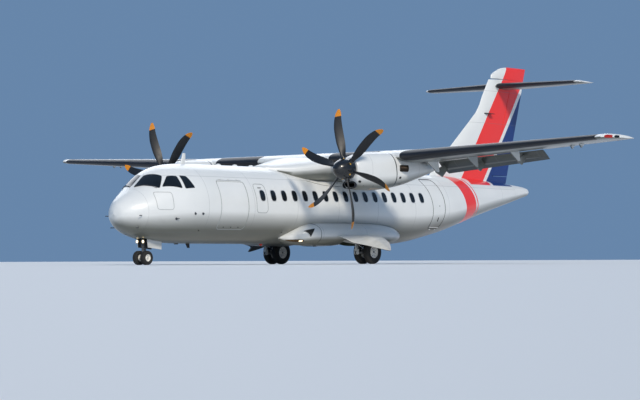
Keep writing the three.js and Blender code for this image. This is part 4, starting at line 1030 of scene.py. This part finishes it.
probes = []
wipers = []
for _, way in SIDES:
    for station, z in PROBES:
        x = skin_x(station, z)
        probes.append(tube([spot(way * (x + out), station + back, z) for out, back in MAST], 0.014))
    probes += [boss(station, z, way, 0.045, 0.006) for station, z in PLATES]
    probes.append(boss(*VANE, way, 0.04, 0.012))
    foot = on_skin(*VANE, way) + AFT * 0.03
    probes.append(blade_antenna(foot, PORT * way * 0.09, 0.08, 0.03, 0.02))
    arm = [on_nose(station, way * x, grow) for station, x, grow in (
        (0.80, 0.10, 0.015), (0.93, 0.36, 0.035), (1.06, 0.60, 0.022))]
    rubber = [on_nose(0.84 + 0.31 * t, way * (0.16 + 0.60 * t), 0.016) for t in (0, 0.25, 0.5, 0.75, 1)]
    wipers += [tube(arm, 0.011), tube(rubber, 0.009)]
piece("air_data_probes", probes, probe_steel, "leg_steel", sharp=50)
piece("wipers", wipers, antenna_black, "spinner_black", sharp=50)

# Fine marks on the fuselage: the outline of an access panel under the cockpit, the wing fairing's
# flange, drains, the cargo door's latches, jacking pads and the doors' handles and hinges.
for side, way in SIDES:
    panel = rounded(0.98, 1.50, 1.73, 2.28, way, 8)
    skin_ring(f"access_panel_{side}", panel, 0.012, grey_seal, "white_skin")
FLANGE = [(8.05, 2.80), (8.38, 2.74), (8.75, 2.68), (9.14, 2.65), (10.2, 2.64), (11.4, 2.64), (12.3, 2.68),
          (12.71, 2.74), (13.0, 2.80)]
DRAINS = [(6.74, 1.06), (2.70, 1.10), (12.9, 1.15)]
JACK_PADS = [(0, 2.80, 0.655), (1.06, 8.45, 0.59), (-1.06, 8.45, 0.59)]


def skin_bar(start, end, way, radius, proud):
    """A bar that lies along the skin between two places on it, each a station and a height."""
    line = [[a + (b - a) * t for a, b in zip(start, end)] for t in (0, 0.33, 0.67, 1)]
    return tube([on_skin(station, z, way, proud) for station, z in line], radius)


flanges = [tube([on_skin(station, z, way, 0.001) for station, z in FLANGE], 0.006) for _, way in SIDES]
drains = [rod(on_skin(station, z, way, -0.01), on_skin(station, z, way, 0.018) - UP * 0.018, 0.014)
          for _, way in SIDES for station, z in DRAINS]
pads = [rod(spot(x, station, z + 0.12), spot(x, station, z), 0.065, segments=32)
        for x, station, z in JACK_PADS]
latches = [boss(station, 1.21, 1, 0.022, 0.006) for station in (3.73, 4.08, 4.43)]
entry = [skin_bar((15.06, 1.52), (15.06, 1.66), 1, 0.013, 0.012), boss(15.10, 2.07, 1, 0.02, 0.005)]
exits = [skin_bar((14.70, 1.75), (14.90, 1.75), -1, 0.013, 0.012)]
exits += [skin_bar((5.31, 2.50), (5.46, 2.50), way, 0.011, 0.010) for _, way in SIDES]
lugs = [dome(on_skin(station, 1.235), (0.02, 0.05, 0.025)) for station in (14.84, 15.27)]
lugs += [dome(on_skin(station, 2.74), (0.025, 0.07, 0.022)) for station in (3.66, 4.07, 4.48)]
piece("fairing_flanges", flanges, sealant, "tyre_rubber")
piece("drains", drains, antenna_black, "spinner_black")
piece("jacking_pads", pads, probe_steel, "leg_steel")
piece("cargo_door_latches", latches, antenna_black, "spinner_black", "cargo_door")
piece("passenger_door_handle", entry, antenna_black, "spinner_black", "passenger_door")
piece("exit_handles", exits, antenna_black, "spinner_black")
piece("door_hinge_lugs", lugs, antenna_white, "white_skin")

# The insides of the two doors: the passenger door has treads and rope rails, because it is the stairs,
# and the cargo door has pressed stiffeners.
stair_alloy = matt("ribbed_alloy_tread", "#8d9194", "#7b7f82", roughness=0.45, metallic=0.6)
TREADS = [1.58, 1.84, 2.10, 2.36, 2.62]
TREAD = {"deep": 0.17, "thick": 0.03, "start": 14.80, "end": 15.33, "sunk": 0.03}
stairs = []
for z in TREADS:
    step = block((TREAD["deep"], TREAD["end"] - TREAD["start"], TREAD["thick"]))
    bmesh.ops.bevel(step, geom=step.edges[:], offset=0.006, affect="EDGES", segments=2, profile=0.5,
                    material=-1)
    bmesh.ops.translate(step, verts=step.verts, vec=on_skin(
        (TREAD["start"] + TREAD["end"]) / 2, z, proud=TREAD["sunk"] - DOOR_WALL - TREAD["deep"] / 2))
    stairs.append(step)
for station in (14.77, 15.36):
    stairs.append(tube([
        on_skin(station, 1.45 + 1.35 * t, proud=0.01 - DOOR_WALL - 0.16 * math.sin(math.pi * t) ** 0.5)
        for t in (0, 0.08, 0.2, 0.4, 0.6, 0.8, 0.92, 1)], 0.012))
ribs = [tube([on_skin(station, z, proud=-DOOR_WALL) for z in (1.30, 1.6, 1.9, 2.2, 2.45, 2.56)], 0.022)
        for station in (3.62, 3.92, 4.22, 4.52)]
ribs += [tube([on_skin(station, z, proud=-DOOR_WALL) for station in (3.55, 4.07, 4.60)], 0.018)
         for z in (1.55, 2.05)]
piece("door_stairs", stairs, stair_alloy, "leg_steel", "passenger_door", sharp=50)
piece("cargo_door_stiffeners", ribs, primer, "leg_steel", "cargo_door", sharp=50)


# Position lamps behind tinted covers in the wing tips, a strobe behind each, a white lamp in the tail
# cone and a red beacon under the belly. Wicks of carbon fibre trail from the control surfaces.
def tinted_cover(name, colour, glow=0.0):
    """Blown acrylic over a lamp: clear-coated, with a dim reflector behind it."""
    deeper = [channel * 0.45 for channel in linear(colour)[:3]] + [1]
    cover, surface, _, _, tint = mottled(name, colour, deeper, 30, 1)
    plug(cover, surface, {"Base Color": tint, "Roughness": 0.12, "Emission Color": linear(colour),
                          "Emission Strength": glow})
    return cover


red_cover = tinted_cover("red_acrylic_cover", "#b3261e", 0.15)
green_cover = tinted_cover("green_acrylic_cover", "#1f8a4d", 0.15)
clear_cover = tinted_cover("clear_acrylic_cover", "#cfd6da")
lit_lens = tinted_cover("lit_filament_lens", "#ffe7b8", 2.5)
amber_lens = tinted_cover("bronze_tinted_lens", "#5a4326")


def nose_wrap(start, end, reach):
    """A sheet round the wing tip's leading edge between two distances from the centre line."""
    return patch(lambda across, up: tip_point(
        start + (end - start) * (across + 1) / 2, reach * up * up, 1 if up > 0 else -1, 0.003), 4, 12)


for (side, way), cover in zip(SIDES, (red_cover, green_cover)):
    lamp = nose_wrap(way * 12.09, way * 12.215, 0.05)
    strobe = nose_wrap(way * 12.235, way * 12.272, 0.06)
    piece(f"position_lamp_{side}", lamp, cover, "wheel_alloy", thick=0.004)
    piece(f"strobe_{side}", strobe, glass, "spinner_black", thick=0.004)
piece("tail_lamp", dome(spot(0, 22.585, 2.768), (0.05, 0.07, 0.05)), clear_cover, "wheel_alloy")
piece("belly_beacon", dome(spot(0, 6.9, BELLY + 0.01), (0.06, 0.06, 0.075)), red_cover, "wheel_alloy")
WICKS = [  # part, surface, places along the span
    ("aileron", wing_point, (9.5, 10.8, 11.7)),
    ("elevator", tail_point, (1.4, 2.4, 3.2)),
]
for part, surface_point, places in WICKS:
    for side, way in SIDES:
        edges = [surface_point(way * x, 1, 1) for x in places]
        wicks = [rod(edge - AFT * 0.02, edge + AFT * 0.13, 0.004, 0.0015, 6) for edge in edges]
        piece(f"{part}_wicks_{side}", wicks, antenna_black, "spinner_black", f"{part}_{side}")

# The nacelles are white composite cowls round the engine, with a chin intake, a dark joint behind
# the removable doors and a heat-stained belly.
ENGINE_OFFSET = 4.05
SHAFT_HEIGHT = 3.065
NACELLE = [  # station, half width, top, height of the widest point, bottom
    (6.64, 0.350, 3.420, 3.065, 2.600),
    (6.72, 0.400, 3.480, 3.060, 2.440),
    (7.05, 0.455, 3.580, 3.050, 2.400),
    (7.50, 0.485, 3.640, 3.050, 2.400),
    (8.50, 0.500, 3.680, 3.060, 2.490),
    (9.20, 0.500, 3.650, 3.090, 2.610),
    (9.90, 0.460, 3.560, 3.150, 2.800),
    (10.50, 0.360, 3.480, 3.200, 2.960),
    (11.15, 0.130, 3.380, 3.250, 3.140),
]
INTAKE = {"half": 0.23, "middle": 2.56, "tall": 0.1}
VENTS = [(6.76, -0.10), (8.72, -0.06), (8.72, 0.56), (9.3, 0.56)]
cowl_paint = topcoat("polyurethane_topcoat_on_cowl", joints=[((0, 1, 0), y(7.28), 1.24)], bands=[
    ("#26282a", leaning(8.495, 8.54, 0.12, 3)),
    ("#a08d76", leaning(7.4, 8.3, 0, 0) + [((0, 0, -1), -2.47)])])
# Flat black for the insides of the intake duct, the cowl vents, the pod scoops and the jet pipes: painted
# shade.
shade_black = matt("black_painted_shade", "#0d0e0f", "#17191a", roughness=0.6)


def boxy(value, power):
    """A sine or cosine, bent so that a circle turns into a rounded box."""
    return math.copysign(abs(value) ** power, value)


def oval(row, around, power, grow=0.0):
    """How far across and how high the skin of a rounded box lies, from a table's row."""
    half, top, mid, bottom = row
    across, up = [boxy(part(2 * math.pi * around), power) for part in (math.cos, math.sin)]
    return (half + grow) * across, mid + up * (top - mid + grow if up > 0 else mid - bottom + grow)


def cowl_point(station, around, way, grow=0.0):
    across, z = oval(between(NACELLE, station), around, 0.85, grow)
    return spot(way * ENGINE_OFFSET + across, station, z)


def intake_point(turn, way, station, wide, tall, lift=0.0):
    """A point of a rounded outline like the intake's, at its own width and height."""
    return spot(way * ENGINE_OFFSET + INTAKE["half"] * wide * boxy(math.cos(turn), 0.6), station,
                INTAKE["middle"] + tall * math.sin(turn) * INTAKE["tall"] + lift)


for side, way in SIDES:
    def duct_place(along, around):
        size = 1 - 0.25 * along
        return intake_point(2 * math.pi * around, way, 6.5 + 0.75 * along, size, size, 0.06 * along)

    def lip_place(along, around):
        curl = 2 * math.pi * around
        out = 1 + 0.09 * (1 + math.cos(curl))
        return intake_point(2 * math.pi * along, way, 6.66 + 0.06 * math.sin(curl), out, 1.12 * out)

    cowl = as_object(f"nacelle_cowl_{side}", skin(lambda along, around: cowl_point(
        at_share(NACELLE, along ** 1.3), around, way), 60, 64), cowl_paint)
    carve(cowl, as_object("duct", skin(duct_place, 6, 40), shade_black))
    fit(cowl, "white_skin", nodes=[f"nacelle_{side}"])
    # The vents are black patches on the cowl: painted shade of their openings.
    vents = [patch(lambda across, up: cowl_point(
        station + 0.055 * across, around + 0.012 * up, way, 0.003), 3, 8) for station, around in VENTS]
    latches = [tube([cowl_point(station, start + turn, way, 0.002) for turn in (0, 0.006, 0.012)], 0.009, 8)
               for start in (-0.142, 0.63) for station in (6.98, 7.45, 7.92, 8.32)]
    piece(f"intake_lip_{side}", skin(lip_place, 40, 12), boot_rubber, "tyre_rubber")
    piece(f"cowl_vents_{side}", vents, shade_black, "spinner_black", thick=0.003)
    piece(f"cowl_latches_{side}", latches, probe_steel, "leg_steel", sharp=50)

# The jet pipe is a short tube of heat-tinted stainless steel with a rolled lip, black inside, partly soot
# and partly painted shade, that leans out of the cowl's outer side behind the joint.
burnt = matt("heat_tinted_steel", "#40372f", "#231e1a", roughness=0.5, metallic=0.8)
PIPE = {"root": (0.45, 8.70), "mouth": (0.60, 8.96), "height": 3.14, "radius": 0.110, "wall": 0.012}


def turned(profile, centre, axis, steps=64):
    """A round body: a profile of (distance along the axis, radius) pairs spun once."""
    bm = bmesh.new()
    verts = [bm.verts.new(centre + axis * along + UP * radius) for along, radius in profile]
    edges = [bm.edges.new(pair) for pair in zip(verts, verts[1:])]
    bmesh.ops.spin(bm, geom=verts + edges, cent=centre, axis=axis, angle=2 * math.pi, steps=steps,
                   use_merge=True)
    bmesh.ops.remove_doubles(bm, verts=bm.verts, dist=WELD)
    bmesh.ops.recalc_face_normals(bm, faces=bm.faces)
    return bm


for side, way in SIDES:
    root, mouth = [spot(way * (ENGINE_OFFSET + PIPE[end][0]), PIPE[end][1], PIPE["height"])
                   for end in ("root", "mouth")]
    long, outer, bore = (mouth - root).length, PIPE["radius"], PIPE["radius"] - PIPE["wall"]
    profile = [(0, 0), (0, outer), (long - 0.02, outer), (long - 0.012, outer + 0.003),
               (long - 0.003, outer + 0.002), (long, outer - 0.004), (long - 0.003, bore + 0.002),
               (long - 0.02, bore), (0.06, bore), (0.06, 0)]
    shape = turned(profile, root, (mouth - root).normalized(), 40)
    pipe = as_object(f"jet_pipe_{side}", shape, burnt, shade_black)
    # The bore takes the flat black: soot and painted shade.
    for face in pipe.data.polygons:
        off = face.center - root
        off -= off.project(mouth - root)
        face.material_index = 1 if off.length < bore + 0.001 else 0
    fit(pipe, "burnt_steel", nodes=[f"exhaust_{side}"])

# Each propeller has six swept carbon-fibre blades, moulded over foam cores and sprayed matt black with
# orange tips, in cuffs on a hub under a gloss black spinner with an amber dot between the blades.
PROPELLER_STATION = 6.44
BLADES = 6
BLADE_ANGLE = {"port": 37.7, "starboard": 47.6}
BLADE = [  # radius, degrees that the blade leads its tip, chord, pitch in degrees, thickness
    (0.200, 6.0, 0.130, 80, 0.110),
    (0.420, 6.0, 0.170, 62, 0.080),
    (0.650, 6.2, 0.240, 50, 0.048),
    (0.950, 6.6, 0.290, 42, 0.034),
    (1.300, 6.1, 0.285, 35, 0.026),
    (1.600, 4.3, 0.245, 30, 0.018),
    (1.830, 1.8, 0.180, 28, 0.012),
    (1.962, 0.0, 0.060, 26, 0.006),
]
TIP_START = 1.74
SPINNER = [(0.15, 0.0), (0.15, 0.335), (-0.05, 0.335), (-0.17, 0.322), (-0.25, 0.292), (-0.34, 0.247),
           (-0.42, 0.190), (-0.48, 0.122), (-0.512, 0.055), (-0.522, 0.0)]
CUFF = {"lead": 6, "start": 0.25, "end": 0.40, "root": 0.105, "tip": 0.082}
DOT = {"behind": 12, "out": (0.30, 0.342), "ahead": 0.1, "radius": 0.026}
HUB = [(-0.12, 0), (-0.12, 0.24), (0.14, 0.24), (0.14, 0.07), (0.35, 0.07), (0.35, 0)]


def blade_finish(side, way):
    """Black blade paint with an orange tip, by distance from the shaft."""
    finish, surface, place, scuff, coat = mottled(f"blade_paint_{side}", "#131416", "#1d1f22", 9, 6)
    centred = add(finish, "VectorMath", {
        0: place, 1: (way * ENGINE_OFFSET, 0, SHAFT_HEIGHT)}, operation="SUBTRACT")
    flat = add(finish, "VectorMath", {0: centred, 1: (1, 0, 1)}, operation="MULTIPLY")
    radius = add(finish, "VectorMath", {0: flat}, operation="LENGTH").outputs["Value"]
    tip = add(finish, "Math", {0: radius, 1: TIP_START}, operation="GREATER_THAN")
    tipped = add(finish, "Mix", {0: tip, 6: coat, 7: linear("#dc8a1c")}, data_type="RGBA")
    rough = add(finish, "MapRange", {"Value": scuff, "To Min": 0.36, "To Max": 0.55})
    plug(finish, surface, {"Base Color": tipped.outputs[2], "Roughness": rough})
    return finish


def blade(tip_angle, way):
    """One blade: aerofoil sections stacked along a swept line."""
    def place(along, around):
        radius = at_share(BLADE, math.sin(along * math.pi / 2))
        lead, chord, pitch, thick = between(BLADE, radius)
        angle, twist = math.radians(tip_angle + lead), math.radians(pitch)
        turn = 2 * math.pi * around
        u = (1 + math.cos(turn)) / 2
        v = math.copysign(half_thickness(u), math.sin(turn))
        run, across = (0.4 - u) * chord, v * thick
        sideways = run * math.cos(twist) + across * math.sin(twist)
        forward = run * math.sin(twist) - across * math.cos(twist)
        return spot(way * ENGINE_OFFSET + radius * math.cos(angle) - sideways * math.sin(angle),
                    PROPELLER_STATION - forward,
                    SHAFT_HEIGHT + radius * math.sin(angle) + sideways * math.cos(angle))
    return skin(place, 40, 28)


def outward(degrees):
    """The direction out from the shaft at an angle from port."""
    return Vector((math.cos(math.radians(degrees)), 0, math.sin(math.radians(degrees))))


spinner_gloss, surface, _, smear, ink = mottled("gloss_black_spinner_paint", "#0f1012", "#1c1e20", 6, 5)
sheen = add(spinner_gloss, "MapRange", {"Value": smear, "To Min": 0.2, "To Max": 0.38})
plug(spinner_gloss, surface, {"Base Color": ink, "Roughness": sheen, "Coat Weight": 0.5})
dot_paint = matt("amber_index_paint", "#e0b24a", "#d2a136")
for side, way in SIDES:
    centre = spot(way * ENGINE_OFFSET, PROPELLER_STATION, SHAFT_HEIGHT)
    body = f"propeller_{side}"
    blades, cuffs, dots = [], [], []
    for i in range(BLADES):
        angle = BLADE_ANGLE[side] + i * 360 / BLADES
        arm, gap = outward(angle + CUFF["lead"]), outward(angle - DOT["behind"])
        blades.append(blade(angle, way))
        foot, end = [centre + arm * CUFF[key] for key in ("start", "end")]
        cuffs.append(rod(foot, end, CUFF["root"], CUFF["tip"], 32))
        dots.append(rod(*[centre + gap * out - AFT * DOT["ahead"] for out in DOT["out"]], DOT["radius"]))
    piece(f"blades_{side}", blades, blade_finish(side, way), "blade_black", body, sharp=60)
    piece(f"propeller_hub_{side}", turned(HUB, centre, AFT, 40), forging, "blade_black", body, [body])
    piece(f"spinner_shell_{side}", turned(SPINNER, centre, AFT, 72), spinner_gloss, "spinner_black", body,
          [f"spinner_{side}"])
    piece(f"blade_cuffs_{side}", cuffs, spinner_gloss, "spinner_black", body)
    piece(f"index_dots_{side}", dots, dot_paint, "wheel_alloy", body)

# The main-gear pods are composite fairings on the lower fuselage, open below for the wheels. Each has
# a landing lamp behind a flush lens and a scoop above it.
POD = [  # station, half width, top, height of the widest point, bottom, distance from the centre line
    (6.85, 0.040, 0.910, 0.880, 0.850, 0.850),
    (7.00, 0.210, 1.010, 0.880, 0.750, 0.880),
    (7.25, 0.440, 1.160, 0.920, 0.680, 0.930),
    (7.55, 0.660, 1.295, 0.970, 0.645, 0.955),
    (7.90, 0.820, 1.370, 1.000, 0.630, 0.955),
    (8.45, 0.920, 1.400, 1.010, 0.620, 0.955),
    (9.25, 0.945, 1.405, 1.010, 0.615, 0.955),
    (10.90, 0.940, 1.400, 1.010, 0.620, 0.955),
    (11.60, 0.850, 1.375, 1.010, 0.645, 0.970),
    (12.15, 0.660, 1.315, 1.005, 0.695, 1.010),
    (12.55, 0.420, 1.210, 0.990, 0.770, 1.060),
    (12.82, 0.200, 1.100, 0.980, 0.860, 1.110),
    (12.96, 0.040, 1.005, 0.975, 0.945, 1.140),
]
WELL = {"start": 9.10, "end": 10.64, "inner": 0.25, "outer": 2.5, "top": 0.925}
SCOOP_RIM = [(-1, 1), (-0.5, 1), (0, 1), (0.5, 1), (1, 1), (1, 0.5), (1, 0), (1, -0.5), (0, -1),
             (-1, -0.5), (-1, 0), (-1, 0.5), (-1, 1)]
pod_paint = topcoat("polyurethane_topcoat_on_pod", joints=[((0, 1, 0), y(8.05), 2.2)], grime_and_shade=0.5)


def pod_point(station, around, way, grow=0.0):
    *row, centre = between(POD, station)
    across, z = oval(row, around, 0.8, grow)
    return spot(way * (centre + across), station, z)


def pod_form(way, grow=0.0):
    """The whole pod as a closed skin."""
    return skin(lambda along, around: pod_point(at_share(POD, both_ends(along)), around, way, grow), 72, 56)


for side, way in SIDES:
    def scoop_point(across, up, proud=0.004):
        return pod_point(7.58 + 0.19 * across * (up + 1) / 2, 0.03 + 0.052 * up, way, proud)

    pod = as_object(f"gear_pod_shell_{side}", pod_form(way), pod_paint)
    inner, outer, start, end, top = [WELL[key] for key in ("inner", "outer", "start", "end", "top")]
    middle = spot(way * (outer + inner) / 2, (start + end) / 2, top / 2)
    carve(pod, as_object("well", block((outer - inner, end - start, top), middle), primer))
    fit(pod, WHITE, nodes=[f"gear_pod_{side}"])
    lens = patch(lambda across, up: pod_point(7.19 + 0.23 * across, 0.915 + 0.038 * up, way, 0.004), 2)
    beam = patch(lambda across, up: pod_point(7.33 + 0.05 * across, 0.915 + 0.016 * up, way, 0.009), 2)
    rim = tube([scoop_point(across, up, 0.003) for across, up in SCOOP_RIM], 0.009, 8)
    seam = tube([pod_point(7.95, -0.12 + 0.34 * step / 24, way, 0.001) for step in range(25)], 0.007, 8)
    piece(f"landing_lamp_lens_{side}", lens, amber_lens, "wheel_alloy", thick=0.004)
    piece(f"landing_lamp_beam_{side}", beam, lit_lens, "wheel_alloy", thick=0.004)
    # The scoop's mouth is a black patch: painted shade.
    piece(f"pod_scoop_{side}", patch(scoop_point, 9), shade_black, "spinner_black", thick=0.003)
    piece(f"pod_scoop_rim_{side}", rim, pod_paint, WHITE, sharp=60)
    piece(f"pod_seam_{side}", seam, sealant, "tyre_rubber")

# The leg doors are curved composite plates hinged along the pods, white above, and near-black on the faces
# that look down as painted shade. Each is cut to the pod that it lies against.
LEG_DOOR = [  # station, inner edge, its height, outer edge, its height
    (8.68, 1.780, 0.935, 2.180, 0.840),
    (8.84, 1.780, 0.950, 2.460, 0.690),
    (9.10, 1.780, 0.955, 2.540, 0.650),
    (9.40, 1.780, 0.960, 2.680, 0.590),
    (9.65, 1.780, 0.960, 2.960, 0.500),
    (9.85, 1.780, 0.960, 3.180, 0.435),
    (10.10, 1.780, 0.960, 3.020, 0.510),
    (10.50, 1.780, 0.955, 2.640, 0.700),
    (10.85, 1.780, 0.940, 2.180, 0.850),
]
for side, way in SIDES:
    def plate_place(along, out):
        station = at_share(LEG_DOOR, along)
        inner, inner_z, outer, outer_z = between(LEG_DOOR, station)
        drop = out ** 2.6 * (outer_z - inner_z)
        return spot(way * (inner + out * (outer - inner)), station, inner_z + drop)

    shape = upward(sheet(plate_place, 72, 24), 2)
    plate = wall(as_object(f"leg_door_{side}", shape, shell_paint), 0.022, 1)
    carve(plate, as_object("pod_form", pod_form(way, SEAM), sealant))
    plate.data.materials.clear()
    for finish in (shell_paint, shaded_lining):
        plate.data.materials.append(finish)
    # Faces that look down take the near-black finish: painted shade.
    line_faces(plate.data.polygons, 2, -0.3)
    fit(plate, WHITE, nodes=[f"main_gear_door_{side}"])

# The gear's fittings: two taxi lamps on a bar across the nose leg, torque links that let its lower half
# slide but not turn, brake packs inside the main wheels, and hoses clipped along the trailing arms.
MAIN = {"radius": 0.4065, "width": 0.224, "hub": 0.205, "spacing": 0.415, "axle": 0.045, "vents": 9}
NOSE = {"radius": 0.225, "width": 0.190, "hub": 0.112, "spacing": 0.330, "axle": 0.024, "vents": 6}
MAIN_AXLE = 10.07
NOSE_AXLE = 1.29
TRACK_HALF = 2.05
TAXI_LAMP = {"x": 0.13, "front": 1.165, "bar": 1.238, "bar_half": 0.15, "z": 0.74}
TAXI_CAN = [(0.0, 0.049), (-0.004, 0.055), (0.004, 0.059), (0.03, 0.055), (0.08, 0.03), (0.085, 0.0)]
TAXI_GLASS = [(0.004, 0.0), (-0.006, 0.02), (-0.004, 0.04), (0.004, 0.05), (0.02, 0.05), (0.02, 0.0)]
LINKS = [  # how far aft of the leg, height and half the spread of the torque links' pins
    (0.040, 0.53, 0.034),
    (0.150, 0.42, 0.012),
    (0.045, 0.30, 0.034),
]
BRAKE = [(0.058, 0.052), (0.058, 0.115), (0.072, 0.135), (0.095, 0.135), (0.103, 0.123), (0.103, 0.052),
         (0.058, 0.052)]
HOSE = [(9.44, 0.74), (9.47, 0.62), (9.53, 0.52), (9.64, 0.465), (9.78, 0.45), (9.92, 0.455), (9.985, 0.45)]
HOSE_SPREAD = 0.076
lamp_cans = [rod(*[
    spot(end * TAXI_LAMP["bar_half"], TAXI_LAMP["bar"], TAXI_LAMP["z"]) for end in (-1, 1)], 0.014)]
lamp_glass = []
links = []
for _, way in SIDES:
    front = spot(way * TAXI_LAMP["x"], TAXI_LAMP["front"], TAXI_LAMP["z"])
    lamp_cans.append(turned(TAXI_CAN, front, AFT, 32))
    lamp_glass.append(turned(TAXI_GLASS, front, AFT, 32))
    pins = [spot(way * spread, NOSE_AXLE + aft, z) for aft, z, spread in LINKS]
    links += [rod(pins[0], pins[1], 0.013, 0.010), rod(pins[1], pins[2], 0.010, 0.013)]
for aft, z, spread in LINKS:
    links.append(rod(*[spot(end * (spread + 0.008), NOSE_AXLE + aft, z) for end in (-1, 1)], 0.011))
piece("taxi_lamp_cans", lamp_cans, arm_enamel, "leg_steel")
piece("taxi_lamp_glass", lamp_glass, lit_lens, "wheel_alloy")
piece("nose_torque_links", links, arm_enamel, "leg_steel", "nose_steering", sharp=50)
for side, way in SIDES:
    middle = spot(way * TRACK_HALF, MAIN_AXLE, MAIN["radius"])
    packs = [turned([(face * along, radius) for along, radius in BRAKE], middle, PORT, 48)
             for face in (1, -1)]
    hoses = [tube([spot(way * (TRACK_HALF + across), station, z) for station, z in HOSE], 0.008)
             for across in (-HOSE_SPREAD, HOSE_SPREAD)]
    piece(f"brake_packs_{side}", packs, forging, "leg_steel")
    piece(f"brake_lines_{side}", hoses, sealant, "tyre_rubber")

# Wheels: forged alloy hubs in two halves with vent holes, under ribbed tyres of natural rubber with
# straight grooves. Twin wheels share an axle.
tyre_rubber = matt("natural_rubber_tyre", "#1a1b1c", "#2a2a29", scale=18, roughness=0.82, bumps=0.3)
wheel_enamel = matt("white_wheel_enamel", "#f2f2ee", "#dedcd4", scale=16, roughness=0.38, bumps=0.06)
SHOULDER = [  # shares of the tyre's width and height, from the bead to the tread
    (-0.36, 0.0), (-0.46, 0.18), (-0.5, 0.40), (-0.49, 0.60), (-0.45, 0.80), (-0.37, 0.93), (-0.29, 0.985)]
GROOVE = [(-0.016, 1.0), (-0.010, 0.955), (0.010, 0.955), (0.016, 1.0)]
GROOVES_AT = (-0.22, -0.075, 0.075, 0.22)
HUB_DISH = [  # shares of the tyre's width and the hub's radius; the open side faces out
    (-0.42, 0.0), (-0.42, 0.40), (-0.30, 0.44), (-0.30, 0.93), (-0.38, 1.0), (0.38, 1.0), (0.385, 0.90),
    (0.30, 0.86), (0.16, 0.78), (0.12, 0.60), (0.16, 0.42), (0.30, 0.36), (0.32, 0.30), (0.32, 0.0)]
WHEELS = [  # body, sizes, distance to port, station of the axle, the tyres at its port and starboard ends
    ("nose_wheels", NOSE, 0, NOSE_AXLE, "nose_tyre_port", "nose_tyre_starboard"),
    ("main_wheels_port", MAIN, TRACK_HALF, MAIN_AXLE, "main_tyre_outer_port", "main_tyre_inner_port"),
    ("main_wheels_starboard", MAIN, -TRACK_HALF, MAIN_AXLE, "main_tyre_inner_starboard",
     "main_tyre_outer_starboard"),
]


def tyre_profile(size):
    """Half-round shoulders, a nearly flat tread with four grooves, and beads at the rim."""
    points = SHOULDER + [(at + across, out) for at in GROOVES_AT for across, out in GROOVE]
    points += [(-across, out) for across, out in reversed(SHOULDER)] + SHOULDER[:1]
    width, hub, depth = size["width"], size["hub"], size["radius"] - size["hub"]
    return [(across * width, hub + out * depth) for across, out in points]


for body, size, x, station, *tyres in WHEELS:
    centre = spot(x, station, size["radius"])
    width, hub = size["width"], size["hub"]
    hubs = [rod(centre - PORT * size["spacing"] / 2, centre + PORT * size["spacing"] / 2, size["axle"])]
    vents = []
    for face, tyre in zip((1, -1), tyres):
        out = PORT * face * width
        middle = centre + PORT * face * size["spacing"] / 2
        dish = [(face * across * width, share * hub) for across, share in HUB_DISH]
        hubs.append(turned(dish, middle, PORT, 48))
        for i in range(2 * size["vents"]):
            angle = math.pi * i / size["vents"]
            bolt = middle + Vector((0, math.cos(angle), math.sin(angle))) * hub * 0.80 + out * 0.16
            hubs.append(rod(bolt, bolt + out * 0.05, hub * 0.035, segments=8))
        # The vent holes are dark discs of the forging's finish: painted shade of the holes.
        for i in range(size["vents"]):
            angle = 2 * math.pi * (i + 0.5) / size["vents"]
            hole = middle + Vector((0, math.cos(angle), math.sin(angle))) * hub * 0.62 + out * 0.08
            vents.append(rod(hole, hole + out * 0.055, hub * 0.085))
        dust_cap = middle + out * 0.31
        vents.append(rod(dust_cap, dust_cap + PORT * face * 0.012, hub * 0.17, hub * 0.13))
        rubber = turned(tyre_profile(size), middle, PORT, 72)
        piece(f"{tyre}_rubber", rubber, tyre_rubber, "tyre_rubber", body, [tyre], sharp=50)
    piece(f"{body}_hubs", hubs, wheel_enamel, "wheel_alloy", body, [body])
    piece(f"{body}_vents", vents, forging, "leg_steel", body)
